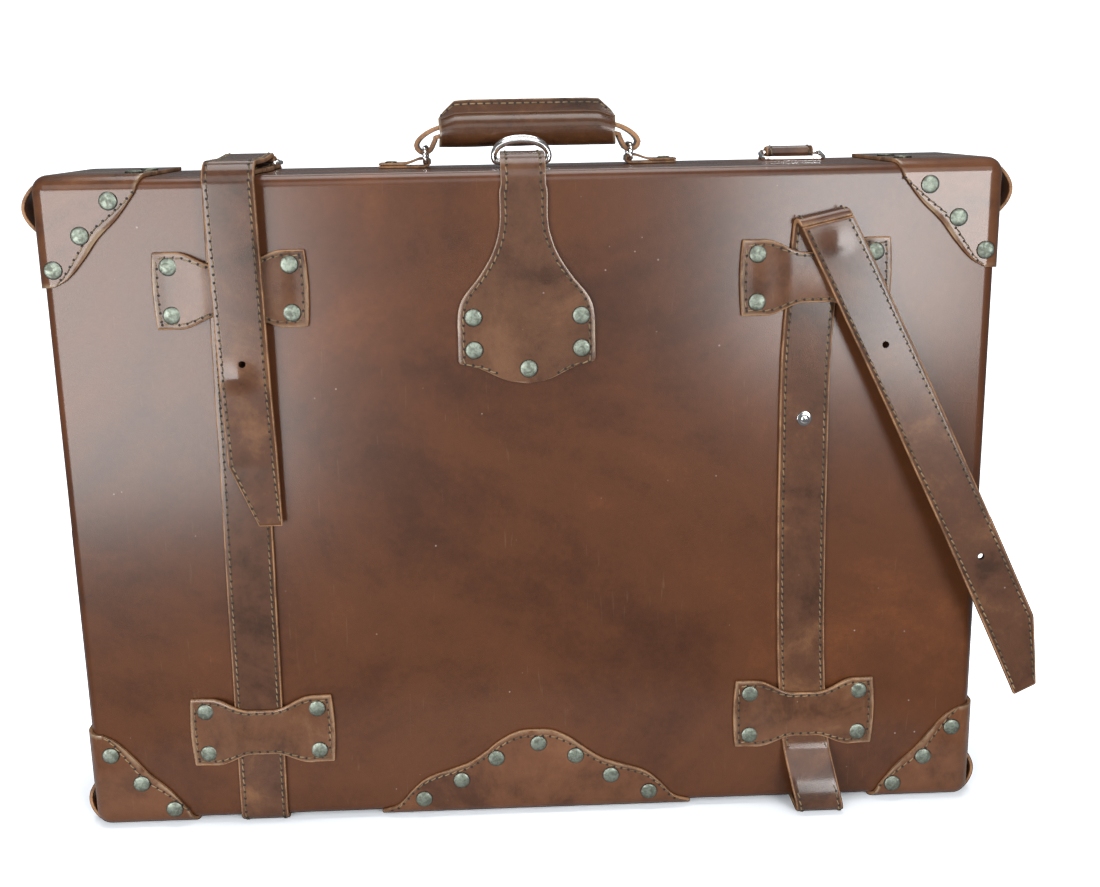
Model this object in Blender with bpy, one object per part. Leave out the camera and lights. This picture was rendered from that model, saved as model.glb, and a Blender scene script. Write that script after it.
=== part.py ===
"""Portfolio case: a rigid clam-shell of saddle leather over wooden frames, sized to hold A2 sheets.

It stands on its long edge. X runs along its width, Y from the front (the lid) to the back (the base), and Z
up. z = 0 is the underside of the two shells, and the straps that pass under them lie just below it. The lid
turns about a pinned hinge along the bottom of the split. Two straps run round the case through leather
keepers: the left one goes through its ring and hangs down again, and the right one hangs undone.
"""

import math

import bmesh
import bpy
from mathutils import Matrix, Vector

MM = 0.001
GAP = 0.3 * MM

# The case, outside, and where it opens.
HALF_WIDTH = 310 * MM
HEIGHT = 448 * MM
FRONT = -60 * MM
BACK = 60 * MM
SPLIT = -22 * MM
RIM_CLEARANCE = 0.4 * MM
EDGE_RADIUS = 8 * MM
EDGE_STEPS = 3

# Its walls, from the outside in.
COVER_WALL = 2.7 * MM
BOARD = 3 * MM
FRAME_WALL = 8 * MM
FRAME_SETBACK = 2 * MM
LINING_WALL = 1.2 * MM

# Leather on the outside of the covers.
CAP_WALL = 2.2 * MM
KEEPER_WALL = 2.5 * MM
STRAP = 3 * MM
STRAP_WIDTH = 33 * MM
CAP_CLEAR_OF_HINGE = 3.2 * MM
STRAP_CLEAR_OF_HINGE = 9.5 * MM
STRAP_HINGE_GAP = 2.2 * MM

# The hinge of the lid.
HINGE_Z = -1.7 * MM
HINGE_HALF_LENGTH = 165 * MM
KNUCKLE_RADIUS = 1.4 * MM
PIN_RADIUS = 0.8 * MM
KNUCKLES = 9
LEAF = 0.8 * MM
LEAF_DEPTH = 13 * MM

# Faces that leather lies on, with its clearance.
FACE = FRONT - GAP
TOP = HEIGHT + GAP
STRAP_FACE = FACE - STRAP / 2
STRAP_TOP = TOP + STRAP / 2
STRAP_UNDER = -GAP - STRAP / 2

# Keepers: centre of each, and the shape of one.
KEEPER_X = {"left": -190 * MM, "right": 190 * MM}
KEEPER_Z = {"upper": 376 * MM, "lower": 68 * MM}
KEEPER_BULGE = 1.5 * MM
KEEPER_END = 25 * MM
KEEPER_WAIST = 16.5 * MM

# The tab on the lid that reaches through the pair of rings on top, and those rings.
TAB_WALL = 3 * MM
TONGUE_HALF_WIDTH = 14.5 * MM
TONGUE_RADIUS = 459.1 * MM
TONGUE_END = 0.5 * MM
TAB_RING_Y = {"front": -16 * MM, "back": -10 * MM}
TAB_RING_HEIGHT = {"front": 13.6 * MM, "back": 15.4 * MM}
TAB_RING_HALF_WIDTH = 18.4 * MM
TAB_WIRE = 2.1 * MM
CHAPE_WALL = 1.2 * MM

# The carrying handle.
HANDLE_X = 5 * MM
HANDLE_Y = 14 * MM
HANDLE_RING_X = 70 * MM
HANDLE_RING_LINK = 9.5 * MM
HANDLE_RING_HALF_WIDTH = 13 * MM
HANDLE_WIRE = 1.6 * MM
HANDLE_CHAPE_WALL = 1.6 * MM

# The strap rings on top, at the back ends of the straps.
RING_BACK_Y = 30 * MM
RING_REACH = 18 * MM
RING_WIRE = 1.5 * MM
RING_HALF_WIDTH = 22.5 * MM

RIVET_SIDES = 12
WIRE_SIDES_STEP = 2


def material(name, colour, roughness, metallic=0.0):
    made = bpy.data.materials.new(name)
    made.use_nodes = True
    shader = made.node_tree.nodes["Principled BSDF"]
    shader.inputs["Base Color"].default_value = (*colour, 1.0)
    shader.inputs["Roughness"].default_value = roughness
    shader.inputs["Metallic"].default_value = metallic
    return made


def put(name, bm, surface):
    """A new object from a bmesh, with its faces turned outwards."""
    bmesh.ops.recalc_face_normals(bm, faces=bm.faces)
    mesh = bpy.data.meshes.new(name)
    bm.to_mesh(mesh)
    bm.free()
    made = bpy.data.objects.new(name, mesh)
    bpy.context.scene.collection.objects.link(made)
    if surface:
        mesh.materials.append(surface)
    return made


def cutter(name, bm):
    made = put(name, bm, None)
    made.hide_render = True
    made.display_type = "WIRE"
    return made


def boolean(target, operation, tool):
    step = target.modifiers.new(tool.name, "BOOLEAN")
    step.operation = operation
    step.solver = "EXACT"
    step.object = tool


def block(low, high):
    bm = bmesh.new()
    bmesh.ops.create_cube(bm, size=1.0)
    size = Vector(high) - Vector(low)
    bmesh.ops.scale(bm, vec=size, verts=bm.verts)
    bmesh.ops.translate(bm, vec=(Vector(low) + Vector(high)) / 2, verts=bm.verts)
    return bm


def prism(outline, y_low, y_high):
    """A solid with this (x, z) outline, from y_low to y_high."""
    bm = bmesh.new()
    rim = [bm.verts.new((x, y_low, z)) for x, z in outline]
    face = bm.faces.new(rim)
    grown = bmesh.ops.extrude_face_region(bm, geom=[face])
    moved = [item for item in grown["geom"] if isinstance(item, bmesh.types.BMVert)]
    bmesh.ops.translate(bm, vec=(0, y_high - y_low, 0), verts=moved)
    return bm


def turned(profile, sides):
    """A solid turned about Z from (radius, z) points that start and end on the axis."""
    bm = bmesh.new()
    rings = []
    for radius, z in profile:
        if radius == 0:
            rings.append([bm.verts.new((0, 0, z))] * sides)
            continue
        turn = [2 * math.pi * i / sides for i in range(sides)]
        rings.append([bm.verts.new((radius * math.cos(a), radius * math.sin(a), z)) for a in turn])
    for lower, upper in zip(rings, rings[1:]):
        for i in range(sides):
            j = (i + 1) % sides
            corners = [lower[i], lower[j], upper[j], upper[i]]
            bm.faces.new(list(dict.fromkeys(corners)))
    return bm


def band(name, stations, thickness, surface, closed=False):
    """A strip of leather through stations, each the pair of points where its two edges run."""
    middles = [(Vector(a) + Vector(b)) / 2 for a, b in stations]
    bm = bmesh.new()
    sections = []
    count = len(stations)
    for i, (a, b) in enumerate(stations):
        before = middles[i - 1] if i or closed else middles[0]
        after = middles[(i + 1) % count] if i < count - 1 or closed else middles[-1]
        across = (Vector(b) - Vector(a)).normalized()
        out = across.cross((after - before).normalized()).normalized() * thickness / 2
        corners = [Vector(a) + out, Vector(b) + out, Vector(b) - out, Vector(a) - out]
        sections.append([bm.verts.new(point) for point in corners])
    ends = sections + sections[:1] if closed else sections
    for one, two in zip(ends, ends[1:]):
        for i in range(4):
            j = (i + 1) % 4
            bm.faces.new([one[i], one[j], two[j], two[i]])
    if not closed:
        bm.faces.new(sections[0])
        bm.faces.new(sections[-1])
    return put(name, bm, surface)


def arc(centre_u, centre_v, radius, start, end, steps):
    """Points on a circle, from one angle to another in degrees."""
    angles = [math.radians(start + (end - start) * i / steps) for i in range(steps + 1)]
    return [(centre_u + radius * math.cos(a), centre_v + radius * math.sin(a)) for a in angles]


def edges_along_x(route, width, centre):
    """Stations of a strap that lies along a (y, z) route. centre gives its middle's x from z."""
    return [
        ((centre(z) - width / 2, y, z), (centre(z) + width / 2, y, z))
        for y, z in route
    ]


def wire_ring(name, points, radius, surface, origin):
    """A closed ring of round wire through the points, with its origin on its pivot."""
    curve = bpy.data.curves.new(name, "CURVE")
    curve.dimensions = "3D"
    curve.bevel_depth = radius
    curve.bevel_resolution = WIRE_SIDES_STEP
    spline = curve.splines.new("POLY")
    spline.use_cyclic_u = True
    spline.points.add(len(points) - 1)
    for spot, point in zip(spline.points, points):
        spot.co = (*(Vector(point) - Vector(origin)), 1.0)
    curve.materials.append(surface)
    made = bpy.data.objects.new(name, curve)
    made.location = origin
    bpy.context.scene.collection.objects.link(made)
    return made


def move_origin(target, point):
    target.data.transform(Matrix.Translation(-Vector(point)))
    target.location = point


def hang_on(name, point, pieces):
    """Parents pieces to an empty on their joint's axis, and leaves them where they are."""
    pivot = bpy.data.objects.new(name, None)
    pivot.location = point
    bpy.context.scene.collection.objects.link(pivot)
    for piece in pieces:
        piece.parent = pivot
        piece.matrix_parent_inverse = Matrix.Translation(-Vector(point))


def shell_tray(name, half_width, bottom, top, open_y, closed_y, radius, wall, surface):
    """A tray with rounded outer edges, open at open_y, whose wall grows inwards."""
    low_y, high_y = min(open_y, closed_y), max(open_y, closed_y)
    bm = block((-half_width, low_y, bottom), (half_width, high_y, top))
    outward = 1 if open_y > closed_y else -1
    mouth = next(f for f in bm.faces if f.normal.y * outward > 0.5)
    rounded = [edge for edge in bm.edges if edge not in mouth.edges]
    if radius:
        bmesh.ops.bevel(
            bm, geom=rounded, offset=radius, segments=EDGE_STEPS, profile=0.5, affect="EDGES"
        )
    bmesh.ops.recalc_face_normals(bm, faces=bm.faces)
    mouth = [f for f in bm.faces if abs(f.calc_center_median().y - open_y) < GAP / 3]
    bmesh.ops.delete(bm, geom=mouth, context="FACES")
    mesh = bpy.data.meshes.new(name)
    bm.to_mesh(mesh)
    bm.free()
    made = bpy.data.objects.new(name, mesh)
    bpy.context.scene.collection.objects.link(made)
    if surface:
        mesh.materials.append(surface)
    thick = made.modifiers.new("wall", "SOLIDIFY")
    thick.thickness = wall
    thick.offset = -1
    thick.use_even_offset = True
    return made


def wooden_frame(name, open_y, closed_y, surface):
    """Four boards joined at the corners, standing inside a cover's side walls."""
    outer = COVER_WALL + GAP
    corner = EDGE_RADIUS - outer
    bm = block(
        (-HALF_WIDTH + outer, min(open_y, closed_y), outer),
        (HALF_WIDTH - outer, max(open_y, closed_y), HEIGHT - outer),
    )
    along_y = [e for e in bm.edges if abs(e.verts[0].co.y - e.verts[1].co.y) > GAP]
    bmesh.ops.bevel(
        bm, geom=along_y, offset=corner, segments=EDGE_STEPS, profile=0.5, affect="EDGES"
    )
    near_panel = [e for e in bm.edges if all(abs(v.co.y - closed_y) < GAP for v in e.verts)]
    bmesh.ops.bevel(bm, geom=near_panel, offset=1.5 * MM, segments=1, affect="EDGES")
    made = put(name, bm, surface)
    inner = outer + FRAME_WALL
    hole = block(
        (-HALF_WIDTH + inner, -0.1, inner),
        (HALF_WIDTH - inner, 0.1, HEIGHT - inner),
    )
    boolean(made, "DIFFERENCE", cutter(name + "_opening", hole))
    return made


def panel_board(name, outer_y, side, surface):
    """The flat board behind a cover's panel. side is -1 in the lid and 1 in the base."""
    reach_x = HALF_WIDTH - 6 * MM
    margin = 6 * MM
    inner_y = outer_y - side * BOARD
    bm = block(
        (-reach_x, min(outer_y, inner_y), margin),
        (reach_x, max(outer_y, inner_y), HEIGHT - margin),
    )
    outer_edges = [e for e in bm.edges if all(abs(v.co.y - outer_y) < GAP for v in e.verts)]
    bmesh.ops.bevel(bm, geom=outer_edges, offset=2 * MM, segments=1, affect="EDGES")
    return put(name, bm, surface)


def half_shell(prefix, side, surfaces):
    """Cover, board, frame and lining of the lid (side -1) or the base (side 1)."""
    closed = BACK if side > 0 else FRONT
    rim = SPLIT + side * RIM_CLEARANCE
    leather, wood, board, cloth = surfaces
    cover = shell_tray(
        prefix + "_cover", HALF_WIDTH, 0, HEIGHT, rim, closed, EDGE_RADIUS, COVER_WALL, leather
    )
    board_y = closed - side * (COVER_WALL + GAP)
    panel = panel_board(prefix + "_board", board_y, side, board)
    frame_closed = board_y - side * (BOARD + GAP)
    frame_open = rim + side * FRAME_SETBACK
    frame = wooden_frame(prefix + "_frame", frame_open, frame_closed, wood)
    inset = COVER_WALL + FRAME_WALL + 2 * GAP
    lining = shell_tray(
        prefix + "_lining", HALF_WIDTH - inset, inset, HEIGHT - inset,
        frame_open, frame_closed, 0, LINING_WALL, cloth,
    )
    return [cover, panel, frame, lining]


def cap_blank(name, side):
    """A leather skin just outside one half of the case, from which its trim is cut."""
    closed = BACK if side > 0 else FRONT
    reach = GAP + CAP_WALL
    return shell_tray(
        name, HALF_WIDTH + reach, -reach, HEIGHT + reach, SPLIT, closed + side * reach,
        EDGE_RADIUS + reach, CAP_WALL, None,
    )


def cap_outline():
    """The wavy edge of a corner cap: distances in from the side and from the top, side to top."""
    half = [(69.5, 0), (62.5, 10.8), (51.4, 25), (38.5, 37.5)]
    return [(a * MM, b * MM) for a, b in half + [(28.5, 50.5), (17.5, 62.5), (8, 68), (0, 69.5)]]


def corner_cap(name, side, left, top, surface):
    """A moulded corner cap, with the pinched fold of leather that stands out at its side."""
    made = cap_blank(name, side)
    made.data.materials.append(surface)
    way_x = -1 if left else 1
    way_z = 1 if top else -1
    corner_z = HEIGHT if top else 0.0
    spill = 12 * MM
    wave = [(way_x * (HALF_WIDTH - a), corner_z - way_z * b) for a, b in cap_outline()]
    beyond_x = way_x * (HALF_WIDTH + spill)
    beyond_z = corner_z + way_z * spill
    outline = [(wave[0][0], beyond_z)] + wave + [(beyond_x, wave[-1][1]), (beyond_x, beyond_z)]
    clear = 1.2 * MM if top else CAP_CLEAR_OF_HINGE
    y_rim = SPLIT + side * clear
    y_far = (BACK if side > 0 else FRONT) + side * spill
    wedge = prism(outline, min(y_rim, y_far), max(y_rim, y_far))
    boolean(made, "INTERSECT", cutter(name + "_outline", wedge))
    fold_z = (HEIGHT - 19 * MM) if top else 13.5 * MM
    fold_half = (16 if top else 15) * MM
    bulge = 10 * MM if top else 7 * MM
    root = HALF_WIDTH + GAP + CAP_WALL / 2
    steps = 8
    outer = []
    inner = []
    for i in range(steps + 1):
        along = -1 + 2 * i / steps
        rise = math.cos(along * math.pi / 2) ** 0.8
        outer.append((way_x * (root + bulge * rise), fold_z + along * fold_half))
        inner.append((way_x * (root + (bulge - CAP_WALL) * rise), fold_z + along * (fold_half - CAP_WALL)))
    fold = prism(outer + inner[::-1], *sorted((SPLIT + side * 6 * MM, SPLIT + side * 29 * MM)))
    boolean(made, "UNION", cutter(name + "_fold", fold))
    return made


def chin(name, side, surface):
    """The shaped guard at the middle of the bottom edge, turned under the case."""
    made = cap_blank(name, side)
    made.data.materials.append(surface)
    half = [(110, -12), (110, 1), (98, 7), (87, 19), (75, 28), (49, 37), (37, 44.5), (25, 54), (12, 60.5)]
    right = [(x * MM, z * MM) for x, z in half]
    outline = right + [(0.0, 61.5 * MM)] + [(-x, z) for x, z in right[::-1]]
    y_rim = SPLIT + side * (LEAF_DEPTH + 5 * MM)
    y_far = (BACK if side > 0 else FRONT) + side * 12 * MM
    boolean(made, "INTERSECT", cutter(name + "_outline", prism(outline, *sorted((y_rim, y_far)))))
    return made


def keeper(name, x, z, side, surface):
    """A bow-tie of leather riveted at its ends, arched over the strap that runs under it."""
    flat = side * ((BACK if side > 0 else -FRONT) + GAP)
    arch = STRAP + GAP
    stops = [0, 10, 16, 21.5, 25, 29, 34, 46, 50]
    places = [-s for s in stops[:0:-1]] + stops
    bm = bmesh.new()
    sections = []
    for place in places:
        u = abs(place) * MM
        widen = min(max((u - 8 * MM) / (26 * MM), 0), 1)
        widen = widen * widen * (3 - 2 * widen)
        half = KEEPER_WAIST + (KEEPER_END - KEEPER_WAIST) * widen
        over = 1 - min(max((u - 21.5 * MM) / (7.5 * MM), 0), 1)
        over = over * over * (3 - 2 * over)
        low = flat + side * arch * over
        high = low + side * KEEPER_WALL
        corner = KEEPER_BULGE if abs(place) == 50 else 0
        middle = x + place * MM
        ends = middle - math.copysign(corner, place)
        ring = [(ends, low, z + half), (middle, low, z), (ends, low, z - half)]
        ring += [(ends, high, z - half), (middle, high, z), (ends, high, z + half)]
        sections.append([bm.verts.new(point) for point in ring])
    for one, two in zip(sections, sections[1:]):
        for i in range(6):
            j = (i + 1) % 6
            bm.faces.new([one[i], one[j], two[j], two[i]])
    bm.faces.new(sections[0])
    bm.faces.new(sections[-1])
    return put(name, bm, surface)


def left_strap_x(z):
    return (-193 + 6 * z / HEIGHT) * MM


def left_tail_x(z):
    return (-182.2 - 2.8 * (z - 218 * MM) / (230 * MM)) * MM


def right_strap_x(z):
    """The undone strap drifts: it leans out at the floor and again above its upper keeper."""
    if z > 312 * MM:
        return (184.5 + 6.5 * ((z / MM - 312) / 100) ** 1.3) * MM
    return (184.5 + 16 * math.exp(-max(z, 0) / (58 * MM))) * MM


def under_and_up(side):
    """Route of a strap from the hinge line, under a shell, round its edge and up to its top edge."""
    closed = BACK if side > 0 else FRONT
    centre = closed - side * EDGE_RADIUS
    bend = EDGE_RADIUS + GAP + STRAP / 2
    turn = [90, 180] if side < 0 else [90, 0]
    route = [(SPLIT + side * STRAP_CLEAR_OF_HINGE, STRAP_UNDER)]
    route += arc(centre, EDGE_RADIUS, bend, -turn[0], -turn[1], 4)
    route += [(closed + side * (GAP + STRAP / 2), z * MM) for z in (60, 200, 340)]
    route += arc(centre, HEIGHT - EDGE_RADIUS, bend, turn[1], turn[0], 4)
    return route


def left_strap(surface):
    """The fastened strap: up the front, over the top, round its ring's bar and down over itself."""
    front = under_and_up(-1) + [(SPLIT - 1.5 * MM, STRAP_TOP)]
    fixed = band("left_strap_front", edges_along_x(front, STRAP_WIDTH, left_strap_x), STRAP, surface)
    bar_y = RING_BACK_Y - RING_REACH
    bar_z = TOP + STRAP + 0.2 * MM + RING_WIRE
    turn = bar_z - STRAP_TOP
    over_z = bar_z + turn
    shoulder = 14 * MM
    shoulder_y = -58 * MM
    route = [(SPLIT - 1.2 * MM, STRAP_TOP), (-5 * MM, STRAP_TOP)]
    route += arc(bar_y, bar_z, turn, -90, 90, 8)
    route += [(-20 * MM, over_z)]
    route += arc(shoulder_y, over_z - shoulder, shoulder, 90, 180, 6)
    loop = band("left_strap_loop", edges_along_x(route, STRAP_WIDTH, left_tail_x), STRAP, surface)
    tail_y = shoulder_y - shoulder
    tail_top = over_z - shoulder - STRAP_HINGE_GAP
    route = [(tail_y, tail_top), (-71.4 * MM, 400 * MM), (-71.2 * MM, 345 * MM)]
    route += [(-70.4 * MM, 318 * MM), (-68.4 * MM, 285 * MM), (-67 * MM, 260 * MM), (-66.4 * MM, 218 * MM)]
    stations = edges_along_x(route, STRAP_WIDTH, left_tail_x)
    tip_left = (stations[-1][0][0] + 17 * MM, route[-1][0], route[-1][1])
    stations[-1] = (tip_left, stations[-1][1])
    tail = band("left_strap_tail", stations, STRAP, surface)
    move_origin(tail, (left_tail_x(tail_top), tail_y, tail_top))
    return fixed, loop, tail


FOLD_TILT = math.radians(12.2)
FOLD_LEAN = math.radians(2.0)
FOLD_CENTRE = Vector((191 * MM, 0, 411.5 * MM))
FOLD_RADIUS = 4.5 * MM
FOLD_ALONG = Vector((math.cos(FOLD_TILT), 0, math.sin(FOLD_TILT)))
FOLD_UP = Vector((-math.sin(FOLD_TILT), 0, math.cos(FOLD_TILT)))


def fold_station(angle):
    """Edges of the strap part of the way round its slanting fold; it creeps along the fold line."""
    slant = FOLD_TILT + FOLD_LEAN
    creep = FOLD_RADIUS * angle * math.tan(slant)
    middle = FOLD_CENTRE + FOLD_ALONG * creep + FOLD_UP * FOLD_RADIUS * math.sin(angle)
    middle.y = STRAP_FACE - FOLD_RADIUS + FOLD_RADIUS * math.cos(angle)
    reach = FOLD_ALONG * STRAP_WIDTH / 2 / math.cos(slant)
    return middle - reach, middle + reach


def right_strap(surface):
    """The undone strap: slack at the floor, up the front and folded over, to hang down to the right."""
    slack = [(SPLIT - STRAP_CLEAR_OF_HINGE, STRAP_UNDER), (-64 * MM, STRAP_UNDER)]
    slack += arc(-69.5 * MM, 8.2 * MM, 10 * MM, -90, -180, 4)
    slack += [(-77.5 * MM, 17 * MM), (-73 * MM, 26 * MM), (-67 * MM, 35 * MM), (-63 * MM, 41.5 * MM)]
    slack += [(STRAP_FACE, z * MM) for z in (47, 55, 110, 205, 312, 345, 376, 395)]
    stations = edges_along_x(slack, STRAP_WIDTH, right_strap_x)
    steps = 6
    stations += [fold_station(math.pi * i / steps) for i in range(steps + 1)]
    fixed = band("right_strap_front", stations, STRAP, surface)
    heading = 2 * FOLD_TILT + FOLD_LEAN
    down = Vector((math.sin(heading), 0, -math.cos(heading)))
    across = Vector((math.cos(heading), 0, math.sin(heading)))
    start_left, start_right = fold_station(math.pi)
    apart = FOLD_UP * -STRAP_HINGE_GAP
    top = (start_left + start_right) / 2 + apart
    stations = [(start_left + apart, start_right + apart)]
    length = 352 * MM
    cut = 46 * MM
    for s in (20 * MM, 50 * MM, 100 * MM, 160 * MM, 220 * MM, 270 * MM, length - cut, length):
        sag = -6 * MM * (s / length) ** 2
        middle = top + down * s + across * sag
        middle.y -= 14 * MM * (s / length) ** 0.8
        right = STRAP_WIDTH / 2 if s < length else 0
        stations.append((middle - across * STRAP_WIDTH / 2, middle + across * right))
    tail = band("right_strap_tail", stations, STRAP, surface)
    move_origin(tail, top)
    return fixed, tail


def back_strap(name, centre, surface):
    """A strap's other end: from the hinge line up the back, folded round the ring's back bar."""
    bar_z = TOP + STRAP + 0.2 * MM + RING_WIRE
    turn = bar_z - STRAP_TOP
    route = under_and_up(1)
    route += [(RING_BACK_Y + 8 * MM, STRAP_TOP)]
    route += arc(RING_BACK_Y, bar_z, turn, 270, 90, 8)
    doubled = STRAP_TOP + STRAP + GAP
    route += [(RING_BACK_Y + 5 * MM, bar_z + turn - 0.5 * MM), (RING_BACK_Y + 10 * MM, doubled + 0.4 * MM)]
    route += [(RING_BACK_Y + 13 * MM, doubled), (RING_BACK_Y + 22 * MM, doubled)]
    return band(name, edges_along_x(route, STRAP_WIDTH, centre), STRAP, surface)


def strap_ring(name, x, tilt, surface):
    """A rectangular ring, hinged on its back bar. tilt lowers its front bar to the case."""
    bar_z = TOP + STRAP + 0.2 * MM + RING_WIRE
    pivot = Vector((x, RING_BACK_Y, bar_z))
    corner = 3 * MM
    half = RING_HALF_WIDTH - RING_WIRE
    outline = arc(half - corner, RING_REACH - corner, corner, 0, 90, 3)
    outline += arc(-half + corner, RING_REACH - corner, corner, 90, 180, 3)
    outline += arc(-half + corner, corner, corner, 180, 270, 3)
    outline += arc(half - corner, corner, corner, 270, 360, 3)
    points = [
        pivot + Vector((u, -v * math.cos(tilt), -v * math.sin(tilt))) for u, v in outline
    ]
    return wire_ring(name, points, RING_WIRE, surface, pivot)


def stud(name, x, z, surface):
    """A round-headed stud that a strap's hole buttons over."""
    seat = STRAP_FACE - STRAP / 2 - GAP
    profile = [(0, 0), (4.8, 0), (4.8, 1.1), (2.2, 1.3), (2.2, 2.0), (3.3, 2.6), (2.6, 3.7), (0, 4.0)]
    bm = turned([(r * MM, h * MM) for r, h in profile], RIVET_SIDES)
    bmesh.ops.rotate(bm, matrix=Matrix.Rotation(math.radians(90), 3, "X"), verts=bm.verts)
    bmesh.ops.translate(bm, vec=(x, seat, z), verts=bm.verts)
    return put(name, bm, surface)


def tab_rivet(name, x, z, surface):
    """A domed cap rivet, with its shank in the tab's punched hole."""
    seat = FACE - TAB_WALL - GAP
    dome = [(2.0, -TAB_WALL / MM), (2.0, 0), (5.9, 0), (5.7, 0.9), (4.4, 2.0), (2.3, 2.7), (0, 2.9)]
    profile = [(0, -TAB_WALL / MM)] + dome
    bm = turned([(r * MM, h * MM) for r, h in profile], RIVET_SIDES)
    bmesh.ops.rotate(bm, matrix=Matrix.Rotation(math.radians(90), 3, "X"), verts=bm.verts)
    bmesh.ops.translate(bm, vec=(x, seat, z), verts=bm.verts)
    return put(name, bm, surface)


TAB_RIVETS = {
    "upper_left": (-34.5 * MM, 354.5 * MM),
    "lower_left": (-34.5 * MM, 333 * MM),
    "upper_right": (36 * MM, 354.5 * MM),
    "lower_right": (36 * MM, 333 * MM),
    "bottom": (1 * MM, 320 * MM),
}


def front_tab(surface):
    """Bottle-shaped tab on the lid. Its neck leaves the case and curves back through the rings.

    The neck follows an arc about the lid's hinge, so it slides out of the rings as the lid opens.
    """
    right = [(15.5, 434), (15.8, 414), (20.5, 397), (30, 381), (41, 367), (44.5, 356), (45, 324)]
    right += [(33, 321.5), (17, 313.5), (0, 310)]
    outline = [(x * MM, z * MM) for x, z in right] + [(-x * MM, z * MM) for x, z in right[-2::-1]]
    made = put("front_tab", prism(outline, FACE - TAB_WALL, FACE), surface)
    middle = FACE - TAB_WALL / 2
    route = [(middle, 432 * MM), (middle, 439 * MM), (-60.6 * MM, 446.5 * MM), (-57 * MM, 452.4 * MM)]
    route += [(-51.5 * MM, 455.7 * MM)]
    steps = 8
    first_y = -44 * MM
    for i in range(steps + 1):
        y = first_y + (TONGUE_END - first_y) * i / steps
        route.append((y, HINGE_Z + math.sqrt(TONGUE_RADIUS**2 - (y - SPLIT) ** 2)))
    neck_stations = edges_along_x(route, 2 * TONGUE_HALF_WIDTH, lambda z: 0)
    neck = band("front_tab_neck", neck_stations, TAB_WALL, None)
    neck.hide_render = True
    neck.display_type = "WIRE"
    boolean(made, "UNION", neck)
    for place, (x, z) in TAB_RIVETS.items():
        hole = turned([(0, -20 * MM), (2.4 * MM, -20 * MM), (2.4 * MM, 20 * MM), (0, 20 * MM)], RIVET_SIDES)
        bmesh.ops.rotate(hole, matrix=Matrix.Rotation(math.radians(90), 3, "X"), verts=hole.verts)
        bmesh.ops.translate(hole, vec=(x, FACE, z), verts=hole.verts)
        boolean(made, "DIFFERENCE", cutter("tab_hole_" + place, hole))
    return made


def tab_ring(place, surface):
    """A D-shaped ring standing on its straight bar, which turns in the chape."""
    y = TAB_RING_Y[place]
    bar_z = TOP + CHAPE_WALL + GAP + TAB_WIRE
    height = TAB_RING_HEIGHT[place]
    half = TAB_RING_HALF_WIDTH
    corner = 2.5 * MM
    shoulder = 3 * MM
    outline = [(-half + corner, 0), (0, 0), (half - corner, 0), (half - 0.7 * MM, 0.7 * MM)]
    steps = 12
    squareness = 0.75
    for i in range(steps + 1):
        a = math.pi * i / steps
        u = half * math.copysign(abs(math.cos(a)) ** squareness, math.cos(a))
        outline.append((u, shoulder + (height - shoulder) * math.sin(a) ** squareness))
    outline.append((-half + 0.7 * MM, 0.7 * MM))
    points = [(u, y, bar_z + v) for u, v in outline]
    return wire_ring("tab_ring_" + place, points, TAB_WIRE, surface, (0, y, bar_z))


def ring_chape(surface):
    """The strip that holds both tab rings down: it goes round their bars and is fixed behind them."""
    bar_z = TOP + CHAPE_WALL + GAP + TAB_WIRE
    low = TOP + CHAPE_WALL / 2
    high = bar_z + (bar_z - low)
    closed = low + CHAPE_WALL + GAP
    route = [(12 * MM, low), (0, low)]
    route += arc(TAB_RING_Y["front"], bar_z, bar_z - low, 270, 90, 8)
    route += [(TAB_RING_Y["back"] + 1.5 * MM, high), (TAB_RING_Y["back"] + 4.5 * MM, high - 2.2 * MM)]
    route += [(0, closed), (12 * MM, closed)]
    stations = edges_along_x(route, 24 * MM, lambda z: 0)
    return band("ring_chape", stations, CHAPE_WALL, surface)


def handle_bar_z():
    return TOP + HANDLE_CHAPE_WALL + GAP + HANDLE_WIRE


def handle_chape(name, way, surface):
    """Leather that holds a handle ring's lower bar on top of the case. way is -1 left, 1 right."""
    x = HANDLE_X + way * HANDLE_RING_X
    bar_z = handle_bar_z()
    low = TOP + HANDLE_CHAPE_WALL / 2
    turn = bar_z - low
    closed = low + HANDLE_CHAPE_WALL + GAP
    route = [(32 * MM, low), (12 * MM, low)]
    route += arc(0, bar_z, turn, 270, 90, 8)
    route += [(5 * MM, bar_z + turn - 0.4 * MM), (11 * MM, closed + 0.8 * MM), (15 * MM, closed), (32 * MM, closed)]
    half = 9 * MM
    stations = [
        ((x + way * u, HANDLE_Y - half, z), (x + way * u, HANDLE_Y + half, z)) for u, z in route
    ]
    return band(name, stations, HANDLE_CHAPE_WALL, surface)


def handle_ring(name, way, surface):
    x = HANDLE_X + way * HANDLE_RING_X
    pivot = Vector((x, HANDLE_Y, handle_bar_z()))
    corner = 2.5 * MM
    half = HANDLE_RING_HALF_WIDTH
    outline = arc(half - corner, HANDLE_RING_LINK - corner, corner, 0, 90, 3)
    outline += arc(-half + corner, HANDLE_RING_LINK - corner, corner, 90, 180, 3)
    outline += arc(-half + corner, corner, corner, 180, 270, 3)
    outline += arc(half - corner, corner, corner, 270, 360, 3)
    points = [pivot + Vector((0, u, v)) for u, v in outline]
    return wire_ring(name, points, HANDLE_WIRE, surface, pivot)


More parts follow.
